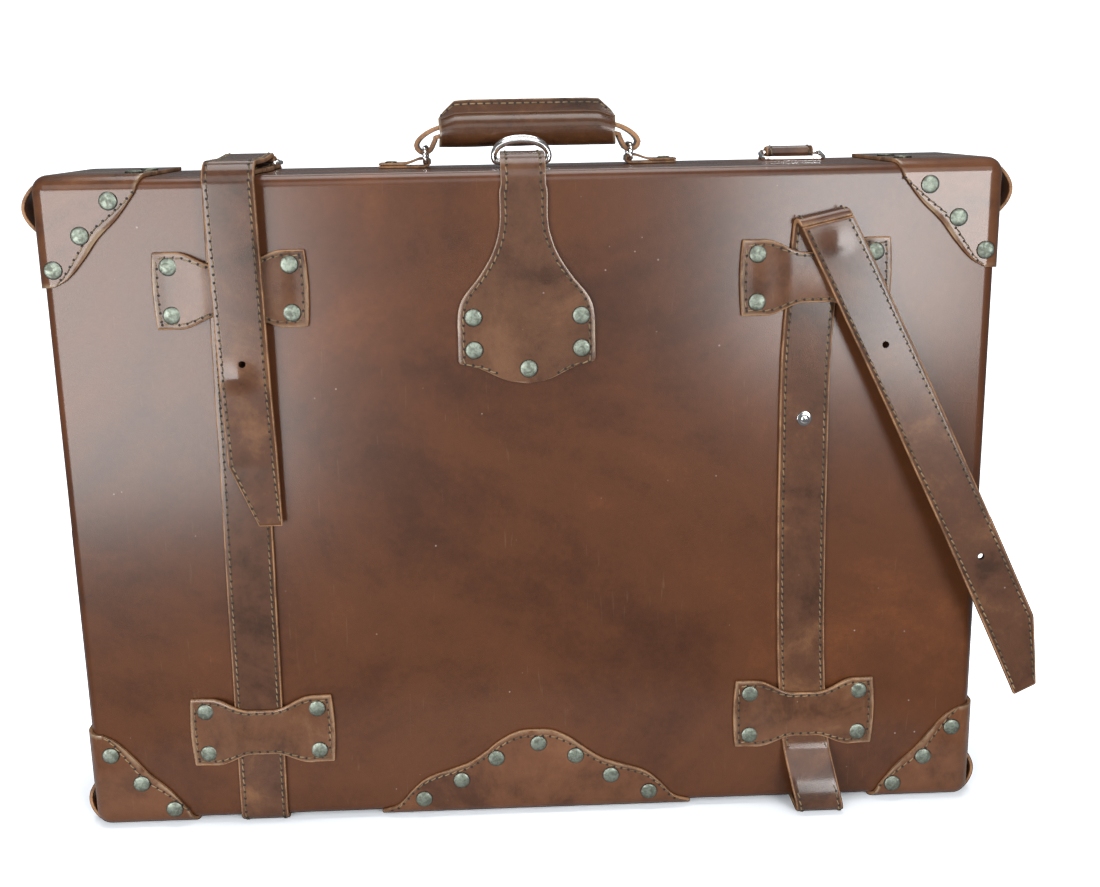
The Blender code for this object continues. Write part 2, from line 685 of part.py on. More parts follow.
def handle_core(surface):
    """An endless strap inside the grip, whose ends come out as the loops round the rings."""
    half = [(0, 475), (30, 475), (55, 475), (61.5, 474.3), (68, 471.5), (73.5, 467.5), (76, 463.3)]
    half += [(74.4, 459.6), (70, 457.8), (66.8, 459.4), (64.8, 463), (63.0, 466.6), (60.2, 468.8), (30, 468.8)]
    right = [(u * MM, z * MM) for u, z in half]
    left = [(-u, z) for u, z in right[:0:-1]]
    bottom = [(0.0, 468.8 * MM)]
    width = 7 * MM
    stations = [
        ((HANDLE_X + u, HANDLE_Y - width, z), (HANDLE_X + u, HANDLE_Y + width, z))
        for u, z in right + bottom + left
    ]
    made = band("handle_core", stations, 2.4 * MM, surface, closed=True)
    return made


def handle_grip(surface):
    """A sewn leather tube with a flat seam along its top, cut away at a slant at both ends."""
    ends = [(0, 12.5, 11.5, 472.8, 493), (40, 12.5, 11.5, 472.8, 493), (49.7, 12.3, 11.3, 472.6, 492.6)]
    ends += [(55.5, 11.9, 10.0, 471.4, 485.8), (59.4, 11.5, 9.0, 470.5, 480.6)]
    rows = [(-x, ry, rz, zc, zf) for x, ry, rz, zc, zf in ends[:0:-1]] + ends
    bm = bmesh.new()
    sections = []
    for x, ry, rz, zc, zf in rows:
        ring = []
        for i in range(13):
            a = math.radians(62 - 304 * i / 12)
            ring.append((ry * math.cos(a), zc + rz * math.sin(a)))
        ring += [(-2.8, zc + rz * 0.985), (-2.4, zf), (2.4, zf), (2.8, zc + rz * 0.985)]
        slant = 0.13 if abs(x) == 59.4 else 0
        shaped = []
        for y, z in ring:
            along = x + math.copysign(slant * (z - zc), x)
            shaped.append(bm.verts.new((HANDLE_X + along * MM, HANDLE_Y + y * MM, z * MM)))
        sections.append(shaped)
    for one, two in zip(sections, sections[1:]):
        for i in range(len(one)):
            j = (i + 1) % len(one)
            bm.faces.new([one[i], one[j], two[j], two[i]])
    bm.faces.new(sections[0])
    bm.faces.new(sections[-1])
    made = put("handle_grip", bm, surface)
    bore = block(
        (HANDLE_X - 90 * MM, HANDLE_Y - 7.4 * MM, 466.9 * MM),
        (HANDLE_X + 90 * MM, HANDLE_Y + 7.4 * MM, 476.5 * MM),
    )
    boolean(made, "DIFFERENCE", cutter("grip_bore", bore))
    return made


def hinge_leaf(name, side, first, surface):
    """One leaf of the pinned hinge: a strip under a shell, with every other knuckle."""
    y_near = SPLIT + side * (KNUCKLE_RADIUS + 0.4 * MM)
    y_far = SPLIT + side * (LEAF_DEPTH + 1.5 * MM)
    plate = block(
        (-HINGE_HALF_LENGTH, min(y_near, y_far), -GAP - LEAF),
        (HINGE_HALF_LENGTH, max(y_near, y_far), -GAP),
    )
    made = put(name, plate, surface)
    pitch = 2 * HINGE_HALF_LENGTH / KNUCKLES
    for i in range(first, KNUCKLES, 2):
        start = -HINGE_HALF_LENGTH + i * pitch + GAP
        end = start + pitch - 2 * GAP
        bm = bmesh.new()
        ring = [(KNUCKLE_RADIUS, math.radians(22.5 + 45 * k)) for k in range(8)]
        rim = [bm.verts.new((start, SPLIT + r * math.cos(a), HINGE_Z + r * math.sin(a))) for r, a in ring]
        grown = bmesh.ops.extrude_face_region(bm, geom=[bm.faces.new(rim)])
        moved = [item for item in grown["geom"] if isinstance(item, bmesh.types.BMVert)]
        bmesh.ops.translate(bm, vec=(end - start, 0, 0), verts=moved)
        boolean(made, "UNION", cutter(f"{name}_knuckle_{i}", bm))
        low_y = SPLIT + side * 0.9 * MM
        web = block(
            (start, min(low_y, y_near + side * MM), -GAP - LEAF - 0.1 * MM),
            (end, max(low_y, y_near + side * MM), -GAP - 0.1 * MM),
        )
        boolean(made, "UNION", cutter(f"{name}_web_{i}", web))
    bore = bmesh.new()
    bmesh.ops.create_cone(
        bore, cap_ends=True, segments=12, radius1=PIN_RADIUS + 0.1 * MM,
        radius2=PIN_RADIUS + 0.1 * MM, depth=2.4 * HINGE_HALF_LENGTH,
    )
    bmesh.ops.rotate(bore, matrix=Matrix.Rotation(math.radians(90), 3, "Y"), verts=bore.verts)
    bmesh.ops.translate(bore, vec=(0, SPLIT, HINGE_Z), verts=bore.verts)
    boolean(made, "DIFFERENCE", cutter(name + "_bore", bore))
    return made


def hinge_pin(surface):
    bm = bmesh.new()
    bmesh.ops.create_cone(
        bm, cap_ends=True, segments=12, radius1=PIN_RADIUS, radius2=PIN_RADIUS, depth=2 * HINGE_HALF_LENGTH
    )
    bmesh.ops.rotate(bm, matrix=Matrix.Rotation(math.radians(90), 3, "Y"), verts=bm.verts)
    bmesh.ops.translate(bm, vec=(0, SPLIT, HINGE_Z), verts=bm.verts)
    return put("hinge_pin", bm, surface)


def build():
    for old in list(bpy.data.objects):
        bpy.data.objects.remove(old)
    cover = material("cover_leather", (0.165, 0.065, 0.036), 0.34)
    trim = material("trim_leather", (0.135, 0.055, 0.034), 0.36)
    belt = material("strap_leather", (0.125, 0.055, 0.036), 0.4)
    wood = material("poplar", (0.55, 0.40, 0.24), 0.6)
    board = material("fibreboard", (0.36, 0.27, 0.18), 0.8)
    cloth = material("pigskin_lining", (0.45, 0.31, 0.17), 0.75)
    chrome = material("chrome", (0.82, 0.83, 0.84), 0.12, 1.0)
    nickel = material("antique_nickel", (0.42, 0.45, 0.38), 0.32, 1.0)
    steel = material("hinge_steel", (0.6, 0.6, 0.6), 0.35, 1.0)

    on_lid = half_shell("lid", -1, (cover, wood, board, cloth))
    half_shell("base", 1, (cover, wood, board, cloth))
    on_lid.append(hinge_leaf("hinge_leaf_lid", -1, 1, steel))
    hinge_leaf("hinge_leaf_base", 1, 0, steel)
    hinge_pin(steel)

    for prefix, side in (("lid", -1), ("base", 1)):
        for height in ("top", "bottom"):
            for hand in ("left", "right"):
                name = f"{prefix}_corner_cap_{height}_{hand}"
                made = corner_cap(name, side, hand == "left", height == "top", trim)
                if side < 0:
                    on_lid.append(made)
        guard = chin(prefix + "_chin", side, trim)
        for hand, x in KEEPER_X.items():
            for level, z in KEEPER_Z.items():
                made = keeper(f"{prefix}_keeper_{level}_{hand}", x, z, side, trim)
                if side < 0:
                    on_lid.append(made)
        if side < 0:
            on_lid.append(guard)

    left_front, left_loop, left_tail = left_strap(belt)
    right_front, right_tail = right_strap(belt)
    back_strap("left_strap_back", left_strap_x, belt)
    back_strap("right_strap_back", lambda z: KEEPER_X["right"], belt)
    strap_ring("left_strap_ring", left_strap_x(HEIGHT), 0.0, chrome)
    drop = math.asin((STRAP + 0.2 * MM) / (RING_REACH - RING_WIRE))
    strap_ring("right_strap_ring", KEEPER_X["right"], drop, chrome)
    on_lid += [left_front, left_loop, left_tail, right_front, right_tail]
    on_lid.append(stud("left_stud", -188.5 * MM, 321 * MM, nickel))
    on_lid.append(stud("right_stud", 184.3 * MM, 281.5 * MM, chrome))

    on_lid.append(front_tab(trim))
    for place, (x, z) in TAB_RIVETS.items():
        on_lid.append(tab_rivet("tab_rivet_" + place, x, z, nickel))
    for place in TAB_RING_Y:
        tab_ring(place, chrome)
    ring_chape(steel)

    rings = {}
    for hand, way in (("left", -1), ("right", 1)):
        handle_chape("handle_chape_" + hand, way, belt)
        rings[hand] = handle_ring("handle_ring_" + hand, way, chrome)
    hand_on = (HANDLE_X - HANDLE_RING_X, HANDLE_Y, handle_bar_z() + HANDLE_RING_LINK)
    hang_on("handle_pivot", hand_on, [handle_core(belt), handle_grip(trim)])
    hang_on("lid_pivot", (0, SPLIT, HINGE_Z), on_lid)


build()
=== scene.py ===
"""The looks of a saddle-leather portfolio case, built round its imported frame.

X runs along the case, Y from the lid at the front to the base at the back, and Z up, in metres.
"""

import math

import bmesh
import bpy
from mathutils import Matrix, Vector, noise


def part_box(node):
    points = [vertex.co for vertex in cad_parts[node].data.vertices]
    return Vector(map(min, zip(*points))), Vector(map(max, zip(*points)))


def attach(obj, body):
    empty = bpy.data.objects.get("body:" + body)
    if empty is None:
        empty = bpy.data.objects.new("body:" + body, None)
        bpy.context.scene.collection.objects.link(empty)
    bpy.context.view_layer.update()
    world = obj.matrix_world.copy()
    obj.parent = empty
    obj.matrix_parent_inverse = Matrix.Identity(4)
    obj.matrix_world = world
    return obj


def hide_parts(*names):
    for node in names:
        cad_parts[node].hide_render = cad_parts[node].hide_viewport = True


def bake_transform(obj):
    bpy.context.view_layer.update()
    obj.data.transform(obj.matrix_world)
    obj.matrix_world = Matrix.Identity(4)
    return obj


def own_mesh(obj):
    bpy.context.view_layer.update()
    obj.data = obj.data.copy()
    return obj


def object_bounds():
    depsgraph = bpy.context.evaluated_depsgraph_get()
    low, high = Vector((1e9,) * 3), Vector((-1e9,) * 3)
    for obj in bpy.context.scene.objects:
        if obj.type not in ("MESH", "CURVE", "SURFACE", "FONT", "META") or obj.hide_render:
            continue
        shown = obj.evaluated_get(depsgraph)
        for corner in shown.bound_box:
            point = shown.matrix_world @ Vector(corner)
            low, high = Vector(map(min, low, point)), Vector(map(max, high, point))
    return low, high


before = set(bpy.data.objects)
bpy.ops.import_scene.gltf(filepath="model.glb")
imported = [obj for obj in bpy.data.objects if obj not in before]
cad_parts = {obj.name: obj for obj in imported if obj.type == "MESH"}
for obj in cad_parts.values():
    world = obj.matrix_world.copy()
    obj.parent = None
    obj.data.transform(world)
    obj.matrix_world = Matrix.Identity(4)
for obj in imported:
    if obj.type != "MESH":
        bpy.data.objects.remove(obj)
cad_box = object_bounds()


# The studio. A low lamp on each side of the viewer is mirrored in the waxed lid, as a milky sheen in its two
# upper corners. Three more fill in from the front, from above and from behind. All round is white, and the
# floor only shows the shadow of the case.
MM = 0.001
EYE = (-0.0178, -0.9418, 0.4834)
TURN = -0.03615
TILT = 0.23945
ROLL = -0.01849
FILM_WIDTH = 36
FOCAL_LENGTH = 44.378

scene = bpy.context.scene
scene.view_settings.view_transform = "Standard"
lens = bpy.data.cameras.new("viewpoint")
lens.sensor_width = FILM_WIDTH
lens.lens = FOCAL_LENGTH
viewpoint = bpy.data.objects.new("viewpoint", lens)
scene.collection.objects.link(viewpoint)
level_right = Vector((math.cos(TURN), math.sin(TURN), 0))
level_ahead = Vector((-math.sin(TURN), math.cos(TURN), 0))
ahead = math.cos(TILT) * level_ahead - math.sin(TILT) * Vector((0, 0, 1))
upward = math.cos(TILT) * Vector((0, 0, 1)) + math.sin(TILT) * level_ahead
right = math.cos(ROLL) * level_right + math.sin(ROLL) * upward
upward = math.cos(ROLL) * upward - math.sin(ROLL) * level_right
viewpoint.matrix_world = Matrix.Translation(EYE) @ Matrix((right, upward, -ahead)).transposed().to_4x4()
scene.camera = viewpoint


def lamp(name, place, aim, width, height, power):
    light = bpy.data.lights.new(name, "AREA")
    light.shape = "RECTANGLE"
    light.size = width
    light.size_y = height
    light.energy = power
    stand = bpy.data.objects.new(name, light)
    stand.location = place
    stand.rotation_euler = (Vector(aim) - Vector(place)).to_track_quat("-Z", "Y").to_euler()
    scene.collection.objects.link(stand)


lamp("lamp_left", (-1.36, -2.12, 0.22), (-0.1, 0, 0.25), 1.56, 1.3, 46)
lamp("lamp_front", (0.0, -2.3, 1.95), (0, 0, 0.3), 3.6, 1.3, 22)
lamp("lamp_right", (1.02, -2.2, 0.56), (0.1, 0, 0.30), 0.72, 1.1, 27)
lamp("lamp_above", (0.0, 0.1, 2.3), (0, 0.05, 0.1), 1.6, 1.2, 22)
lamp("lamp_behind", (0.0, 2.0, 2.4), (0, 0, 0.2), 1.8, 1.0, 9)

world = bpy.data.worlds.new("studio")
world.use_nodes = True
scene.world = world
sky = world.node_tree.nodes["Background"]
sky.inputs["Color"].default_value = (0.93, 0.96, 1.0, 1)
seen = world.node_tree.nodes.new("ShaderNodeLightPath")
glow = world.node_tree.nodes.new("ShaderNodeMapRange")
glow.inputs["To Min"].default_value = 0.14
glow.inputs["To Max"].default_value = 1.7
world.node_tree.links.new(seen.outputs["Is Camera Ray"], glow.inputs["Value"])
world.node_tree.links.new(glow.outputs["Result"], sky.inputs["Strength"])

bpy.ops.object.select_all(action="DESELECT")
bpy.ops.mesh.primitive_circle_add(
    vertices=96, radius=0.62, fill_type="NGON", location=(0, 0.38, cad_box[0][2])
)
floor = bpy.context.object
floor.name = "studio_floor"
bpy.ops.object.transform_apply()
paint = bpy.data.materials.new("floor_paint")
paint.use_nodes = True
coating = paint.node_tree.nodes["Principled BSDF"]
coating.inputs["Base Color"].default_value = (0.55, 0.55, 0.555, 1)
coating.inputs["Roughness"].default_value = 0.9
floor.is_shadow_catcher = True
floor.data.materials.append(paint)


# The two covers. Each is one skin of glossy waxed cowhide, wet-moulded over its wooden frame and board,
# with rounded outer edges and a raw tan rim where the case opens. The hide is mottled chestnut.
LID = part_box("lid_cover")
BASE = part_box("base_cover")
HALF_WIDTH = LID[1][0]
HEIGHT = LID[1][2]
FRONT = LID[0][1]
BACK = BASE[1][1]
SPLIT = (LID[1][1] + BASE[0][1]) / 2
CASE_MIDDLE = Vector((0, (FRONT + BACK) / 2, HEIGHT / 2))
EDGE_RADIUS = 8 * MM
COVER_WALL = 2.7 * MM
TAN = (0.33, 0.235, 0.15)
GRAIN = 900.0


def node(tree, kind, values=(), **settings):
    """A shader node. Its settings are attributes, and values go to its inputs, linked or as they are."""
    made = tree.nodes.new("ShaderNode" + kind)
    for name, value in settings.items():
        setattr(made, name, value)
    for socket, value in dict(values).items():
        if isinstance(value, bpy.types.NodeSocket):
            tree.links.new(value, made.inputs[socket])
        else:
            made.inputs[socket].default_value = value
    return made


def calc(tree, operation, one, two=0.0, three=0.0):
    return node(tree, "Math", {0: one, 1: two, 2: three}, operation=operation).outputs[0]


def span(tree, value, low, high, bottom=0.0, top=1.0):
    """value taken smoothly from low..high to bottom..top."""
    wanted = {"Value": value, "From Min": low, "From Max": high, "To Min": bottom, "To Max": top}
    return node(tree, "MapRange", wanted, interpolation_type="SMOOTHSTEP").outputs[0]


def mix(tree, share, one, two):
    joined = node(tree, "Mix", {0: share, 6: one, 7: two}, data_type="RGBA", blend_type="MIX")
    return joined.outputs[2]


def cloudy(tree, vector, scale, detail=4.0, roughness=0.55, distortion=0.0):
    wanted = {"Vector": vector, "Scale": scale, "Detail": detail, "Roughness": roughness}
    return node(tree, "TexNoise", {**wanted, "Distortion": distortion}).outputs["Fac"]


def effect(name, inputs, outputs):
    """An empty node group with its sockets, and the nodes that stand for them."""
    group = bpy.data.node_groups.new(name, "ShaderNodeTree")
    for socket, kind, value in inputs:
        made = group.interface.new_socket(socket, in_out="INPUT", socket_type="NodeSocket" + kind)
        if kind != "Vector":
            made.default_value = (*value, 1) if kind == "Color" else value
    for socket, kind in outputs:
        group.interface.new_socket(socket, in_out="OUTPUT", socket_type="NodeSocket" + kind)
    return group, group.nodes.new("NodeGroupInput").outputs, group.nodes.new("NodeGroupOutput").inputs


hide, given, result = effect(
    "mottled_hide",
    [("Vector", "Vector", 0), ("Dark", "Color", (0, 0, 0)), ("Main", "Color", (0, 0, 0)),
     ("Light", "Color", (0, 0, 0)), ("Rub Colour", "Color", TAN), ("Clouds", "Float", 7.0),
     ("Grain", "Float", 900.0), ("Roughness", "Float", 0.35), ("Rub", "Float", 0.0)],
    [("Color", "Color"), ("Roughness", "Float"), ("Height", "Float")],
)
broad = cloudy(hide, given["Vector"], given["Clouds"], 5.0, 0.6, 0.9)
patches = cloudy(hide, given["Vector"], calc(hide, "MULTIPLY", given["Clouds"], 5.0), 6.0, 0.62, 0.4)
flecks = cloudy(hide, given["Vector"], calc(hide, "MULTIPLY", given["Grain"], 0.3), 3.0, 0.6)
tone = calc(hide, "MULTIPLY_ADD", patches, 0.22, calc(hide, "MULTIPLY", broad, 0.68))
tone = calc(hide, "MULTIPLY_ADD", flecks, 0.1, tone)
colour = mix(hide, span(hide, tone, 0.36, 0.54), given["Dark"], given["Main"])
colour = mix(hide, span(hide, tone, 0.52, 0.68), colour, given["Light"])
dust = node(hide, "TexVoronoi", {"Vector": given["Vector"], "Scale": 75.0}).outputs["Distance"]
dust = calc(hide, "MULTIPLY", span(hide, dust, 0.03, 0.06, 1.0, 0.0), span(hide, patches, 0.52, 0.6))
colour = mix(hide, calc(hide, "MULTIPLY", dust, 0.5), colour, (0.5, 0.42, 0.36, 1))
streaked = node(
    hide, "Mapping", {"Vector": given["Vector"], "Rotation": (0.3, 0.55, 0.2), "Scale": (30, 30, 2.2)}
)
scratches = cloudy(hide, streaked.outputs[0], 14.0, 2.0, 0.5, 0.6)
scratches = span(hide, scratches, 0.66, 0.74)
scuffed = calc(hide, "MULTIPLY", scratches, span(hide, patches, 0.45, 0.65))
colour = mix(hide, calc(hide, "MULTIPLY", scuffed, 0.1), colour, given["Rub Colour"])
rubbed = calc(hide, "MULTIPLY", given["Rub"], span(hide, patches, 0.32, 0.62))
colour = mix(hide, rubbed, colour, given["Rub Colour"])
cells = node(
    hide, "TexVoronoi", {"Vector": given["Vector"], "Scale": given["Grain"]}, feature="DISTANCE_TO_EDGE"
)
pebbles = span(hide, cells.outputs["Distance"], 0.0, 0.22)
creases = cloudy(hide, given["Vector"], calc(hide, "MULTIPLY", given["Clouds"], 9.0), 5.0, 0.6, 1.5)
height = calc(hide, "MULTIPLY_ADD", pebbles, 0.35, calc(hide, "MULTIPLY", creases, 0.75))
height = calc(hide, "MULTIPLY_ADD", flecks, 0.3, height)
height = calc(hide, "MULTIPLY_ADD", scuffed, -0.25, height)
dull = calc(hide, "MULTIPLY_ADD", calc(hide, "SUBTRACT", patches, 0.5), 0.5, given["Roughness"])
dull = calc(hide, "MULTIPLY_ADD", scuffed, 0.2, dull)
dull = calc(hide, "MULTIPLY_ADD", rubbed, 0.15, dull)
hide.links.new(colour, result["Color"])
hide.links.new(dull, result["Roughness"])
hide.links.new(height, result["Height"])

rim_wear, given, result = effect(
    "rubbed_rim",
    [("UV", "Vector", 0), ("Across", "Float", 0.05), ("Along", "Float", 0.01)],
    [("Mask", "Float")],
)
parts = node(rim_wear, "SeparateXYZ", {0: given["UV"]}).outputs
reach = []
for axis, width in ((0, given["Across"]), (1, given["Along"])):
    near = calc(rim_wear, "MINIMUM", parts[axis], calc(rim_wear, "SUBTRACT", 1.0, parts[axis]))
    reach.append(calc(rim_wear, "DIVIDE", near, width))
nearest = calc(rim_wear, "MINIMUM", *reach)
rim_wear.links.new(span(rim_wear, nearest, 0.0, 1.0, 1.0, 0.0), result["Mask"])


def blank_material(name):
    surface = bpy.data.materials.new(name)
    surface.use_nodes = True
    return surface, surface.node_tree, surface.node_tree.nodes["Principled BSDF"]


def leather(name, dark, main, light, roughness, clouds, shift, rub=None, polish=0.22):
    """Dyed and waxed hide. clouds is how fine its mottling is, and shift moves the pattern, so that no two
    kinds match. rub gives how far the wear reaches in from a blank's edges, as shares of it, and polish is
    the roughness of its wax."""
    surface, tree, shader = blank_material(name)
    where = node(tree, "TexCoord").outputs
    moved = node(tree, "Mapping", {"Vector": where["Object"], "Location": (shift, shift * 0.7, shift * 1.3)})
    skin = node(tree, "Group", node_tree=hide)
    tree.links.new(moved.outputs[0], skin.inputs["Vector"])
    for socket, value in (("Dark", dark), ("Main", main), ("Light", light)):
        skin.inputs[socket].default_value = (*value, 1)
    skin.inputs["Clouds"].default_value = clouds
    skin.inputs["Grain"].default_value = GRAIN
    skin.inputs["Roughness"].default_value = roughness
    if rub:
        worn = node(tree, "Group", node_tree=rim_wear)
        tree.links.new(where["UV"], worn.inputs["UV"])
        worn.inputs["Across"].default_value = rub[0]
        worn.inputs["Along"].default_value = rub[1]
        tree.links.new(worn.outputs["Mask"], skin.inputs["Rub"])
    bump = node(tree, "Bump", {"Height": skin.outputs["Height"], "Strength": 0.55, "Distance": 0.35 * MM})
    tree.links.new(skin.outputs["Color"], shader.inputs["Base Color"])
    tree.links.new(skin.outputs["Roughness"], shader.inputs["Roughness"])
    tree.links.new(bump.outputs[0], shader.inputs["Normal"])
    shader.inputs["Specular IOR Level"].default_value = 0.1
    shader.inputs["Coat Weight"].default_value = 1.0
    shader.inputs["Coat Roughness"].default_value = polish
    return surface


def raw_edge(name, dark, light):
    """The cut edge of a hide: pale fibres with darker specks where dye has soaked in."""
    surface, tree, shader = blank_material(name)
    where = node(tree, "TexCoord").outputs["Object"]
    fibres = cloudy(tree, where, 900.0, 4.0, 0.7)
    soaked = cloudy(tree, where, 60.0, 4.0, 0.6)
    share = calc(tree, "MULTIPLY_ADD", soaked, 0.6, calc(tree, "MULTIPLY", fibres, 0.4))
    tint = mix(tree, span(tree, share, 0.38, 0.6), (*dark, 1), (*light, 1))
    bump = node(tree, "Bump", {"Height": fibres, "Strength": 0.6, "Distance": 0.3 * MM})
    tree.links.new(tint, shader.inputs["Base Color"])
    tree.links.new(span(tree, fibres, 0.3, 0.7, 0.55, 0.85), shader.inputs["Roughness"])
    tree.links.new(bump.outputs[0], shader.inputs["Normal"])
    return surface


def only(piece):
    bpy.ops.object.mode_set(mode="OBJECT")
    bpy.ops.object.select_all(action="DESELECT")
    piece.select_set(True)
    bpy.context.view_layer.objects.active = piece


def pick(piece, kind, chosen):
    """In edit mode, selects just the edges or faces that chosen(item) is true for."""
    bpy.ops.mesh.select_mode(type="EDGE" if kind == "edges" else "FACE")
    bpy.ops.mesh.select_all(action="DESELECT")
    bm = bmesh.from_edit_mesh(piece.data)
    for item in getattr(bm, kind):
        if chosen(item):
            item.select_set(True)
    bmesh.update_edit_mesh(piece.data)


def finish_with(piece, kind, **settings):
    """Adds a modifier and applies it."""
    only(piece)
    step = piece.modifiers.new(kind.lower(), kind)
    for name, value in settings.items():
        setattr(step, name, value)
    bpy.ops.object.modifier_apply(modifier=step.name)


def smooth(piece, angle=38):
    only(piece)
    bpy.ops.object.shade_smooth_by_angle(angle=math.radians(angle))


cover_hide = leather(
    "cover_hide", (0.060, 0.020, 0.008), (0.108, 0.036, 0.013), (0.178, 0.058, 0.019), 0.40,
    clouds=4.2, shift=0.3,
)
cover_rim = raw_edge("cover_raw_rim", (0.14, 0.085, 0.05), TAN)


def cover(name, closed, mouth):
    """A tray moulded round one half of the frame, open at its mouth."""
    bpy.ops.object.select_all(action="DESELECT")
    depth = abs(mouth - closed)
    bpy.ops.mesh.primitive_cube_add(size=1, location=(0, (mouth + closed) / 2, HEIGHT / 2))
    tray = bpy.context.object
    tray.name = name
    tray.scale = (2 * HALF_WIDTH, depth, HEIGHT)
    bpy.ops.object.transform_apply(location=True, rotation=False, scale=True)
    bpy.ops.object.mode_set(mode="EDIT")
    pick(tray, "edges", lambda e: any(abs(v.co.y - mouth) > depth / 2 for v in e.verts))
    bpy.ops.mesh.bevel(offset=EDGE_RADIUS, segments=7, affect="EDGES")
    pick(tray, "faces", lambda f: abs(f.calc_center_median().y - mouth) < 0.01 * MM)
    bpy.ops.mesh.delete(type="FACE")
    bpy.ops.object.mode_set(mode="OBJECT")
    tray.data.materials.append(cover_hide)
    tray.data.materials.append(cover_rim)
    finish_with(
        tray, "SOLIDIFY", thickness=COVER_WALL, offset=-1, use_even_offset=True, material_offset_rim=1
    )
    finish_with(tray, "BEVEL", width=0.5 * MM, segments=2, limit_method="ANGLE", angle_limit=1.2)
    smooth(tray)
    return tray


for half, closed, mouth in (("lid", FRONT, LID[1][1]), ("base", BACK, BASE[0][1])):
    tray = cover(half + "_cover_leather", closed, mouth)
    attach(tray, half)
    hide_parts(half + "_cover")


# The inside. Poplar frames are finger-jointed and glued, fibreboard panels back the covers, and a soft
# pigskin lining is pasted over both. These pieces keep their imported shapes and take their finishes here.
def plain_finish(name, build):
    surface, tree, shader = blank_material(name)
    build(tree, shader, node(tree, "TexCoord").outputs["Object"])
    return surface


def poplar(tree, shader, where):
    stretched = node(tree, "Mapping", {"Vector": where, "Scale": (3, 40, 3)}).outputs[0]
    rings = node(
        tree, "TexWave", {"Vector": stretched, "Scale": 1.4, "Distortion": 6.0, "Detail": 3.0},
        bands_direction="Y",
    ).outputs["Fac"]
    fibres = cloudy(tree, node(tree, "Mapping", {"Vector": where, "Scale": (8, 500, 8)}).outputs[0], 2.0, 5.0)
    share = calc(tree, "MULTIPLY_ADD", rings, 0.6, calc(tree, "MULTIPLY", fibres, 0.4))
    tint = mix(tree, span(tree, share, 0.2, 0.8), (0.42, 0.29, 0.16, 1), (0.62, 0.47, 0.29, 1))
    bump = node(tree, "Bump", {"Height": fibres, "Strength": 0.3, "Distance": 0.2 * MM})
    tree.links.new(tint, shader.inputs["Base Color"])
    tree.links.new(span(tree, fibres, 0.3, 0.7, 0.5, 0.7), shader.inputs["Roughness"])
    tree.links.new(bump.outputs[0], shader.inputs["Normal"])


def fibreboard(tree, shader, where):
    fibres = cloudy(tree, where, 420.0, 6.0, 0.75)
    tint = mix(tree, span(tree, fibres, 0.35, 0.65), (0.20, 0.13, 0.075, 1), (0.36, 0.26, 0.16, 1))
    bump = node(tree, "Bump", {"Height": fibres, "Strength": 0.4, "Distance": 0.3 * MM})
    tree.links.new(tint, shader.inputs["Base Color"])
    tree.links.new(span(tree, fibres, 0.3, 0.7, 0.75, 0.95), shader.inputs["Roughness"])
    tree.links.new(bump.outputs[0], shader.inputs["Normal"])


def pigskin(tree, shader, where):
    nap = cloudy(tree, where, 28.0, 6.0, 0.6, 0.15)
    pores = node(tree, "TexVoronoi", {"Vector": where, "Scale": 420.0}).outputs["Distance"]
    dots = span(tree, pores, 0.0, 0.28, 1.0, 0.0)
    tint = mix(tree, span(tree, nap, 0.35, 0.65), (0.33, 0.205, 0.108, 1), (0.41, 0.27, 0.15, 1))
    tint = mix(tree, calc(tree, "MULTIPLY", dots, 0.5), tint, (0.20, 0.11, 0.05, 1))
    height = calc(tree, "SUBTRACT", nap, dots)
    bump = node(tree, "Bump", {"Height": height, "Strength": 0.4, "Distance": 0.2 * MM})
    tree.links.new(tint, shader.inputs["Base Color"])
    tree.links.new(span(tree, nap, 0.3, 0.7, 0.62, 0.85), shader.inputs["Roughness"])
    tree.links.new(bump.outputs[0], shader.inputs["Normal"])
    shader.inputs["Sheen Weight"].default_value = 0.25


def refinish(name, surface):
    """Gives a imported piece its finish."""
    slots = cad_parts[name].material_slots
    if not slots:
        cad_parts[name].data.materials.append(surface)
    for held in slots:
        held.material = surface


for kind, surface in (("frame", plain_finish("poplar_wood", poplar)),
                      ("board", plain_finish("fibreboard_panel", fibreboard)),
                      ("lining", plain_finish("pigskin_suede", pigskin))):
    for half in ("lid", "base"):
        refinish(f"{half}_{kind}", surface)


# The corner caps. Each is one piece of harness leather, wet-formed over the corner, cut to a wave on the
# broad face, saddle-stitched along it and riveted. At its side it keeps a pinched loop that stands out.
GAP = 0.3 * MM
CAP_WALL = 2.2 * MM
CAP_REACH = GAP + CAP_WALL
CAP_RADIUS = EDGE_RADIUS + CAP_REACH
CAP_SIDE = 69.5 * MM
CAP_WAVE = [(64.3, 8), (62.5, 10.8), (51.4, 25), (38.5, 37.5), (28.5, 50.5), (17.5, 62.5), (8, 68)]
FLANGE_RIVET = 60 * MM
RIVET_SUNK = 0.1 * MM
CAP_RIVETS = {
    "top": [(47.4, 14), (27.6, 35.5), (8.7, 57)],
    "bottom": [(54.3, 10.5), (33, 31), (13.5, 53)],
}

trim_hide = leather(
    "trim_hide", (0.070, 0.026, 0.012), (0.145, 0.056, 0.024), (0.22, 0.095, 0.044), 0.36,
    clouds=11.0, shift=1.7, rub=(0.03, 0.05), polish=0.14,
)
trim_edge = raw_edge("trim_raw_edge", (0.15, 0.070, 0.032), (0.40, 0.21, 0.10))


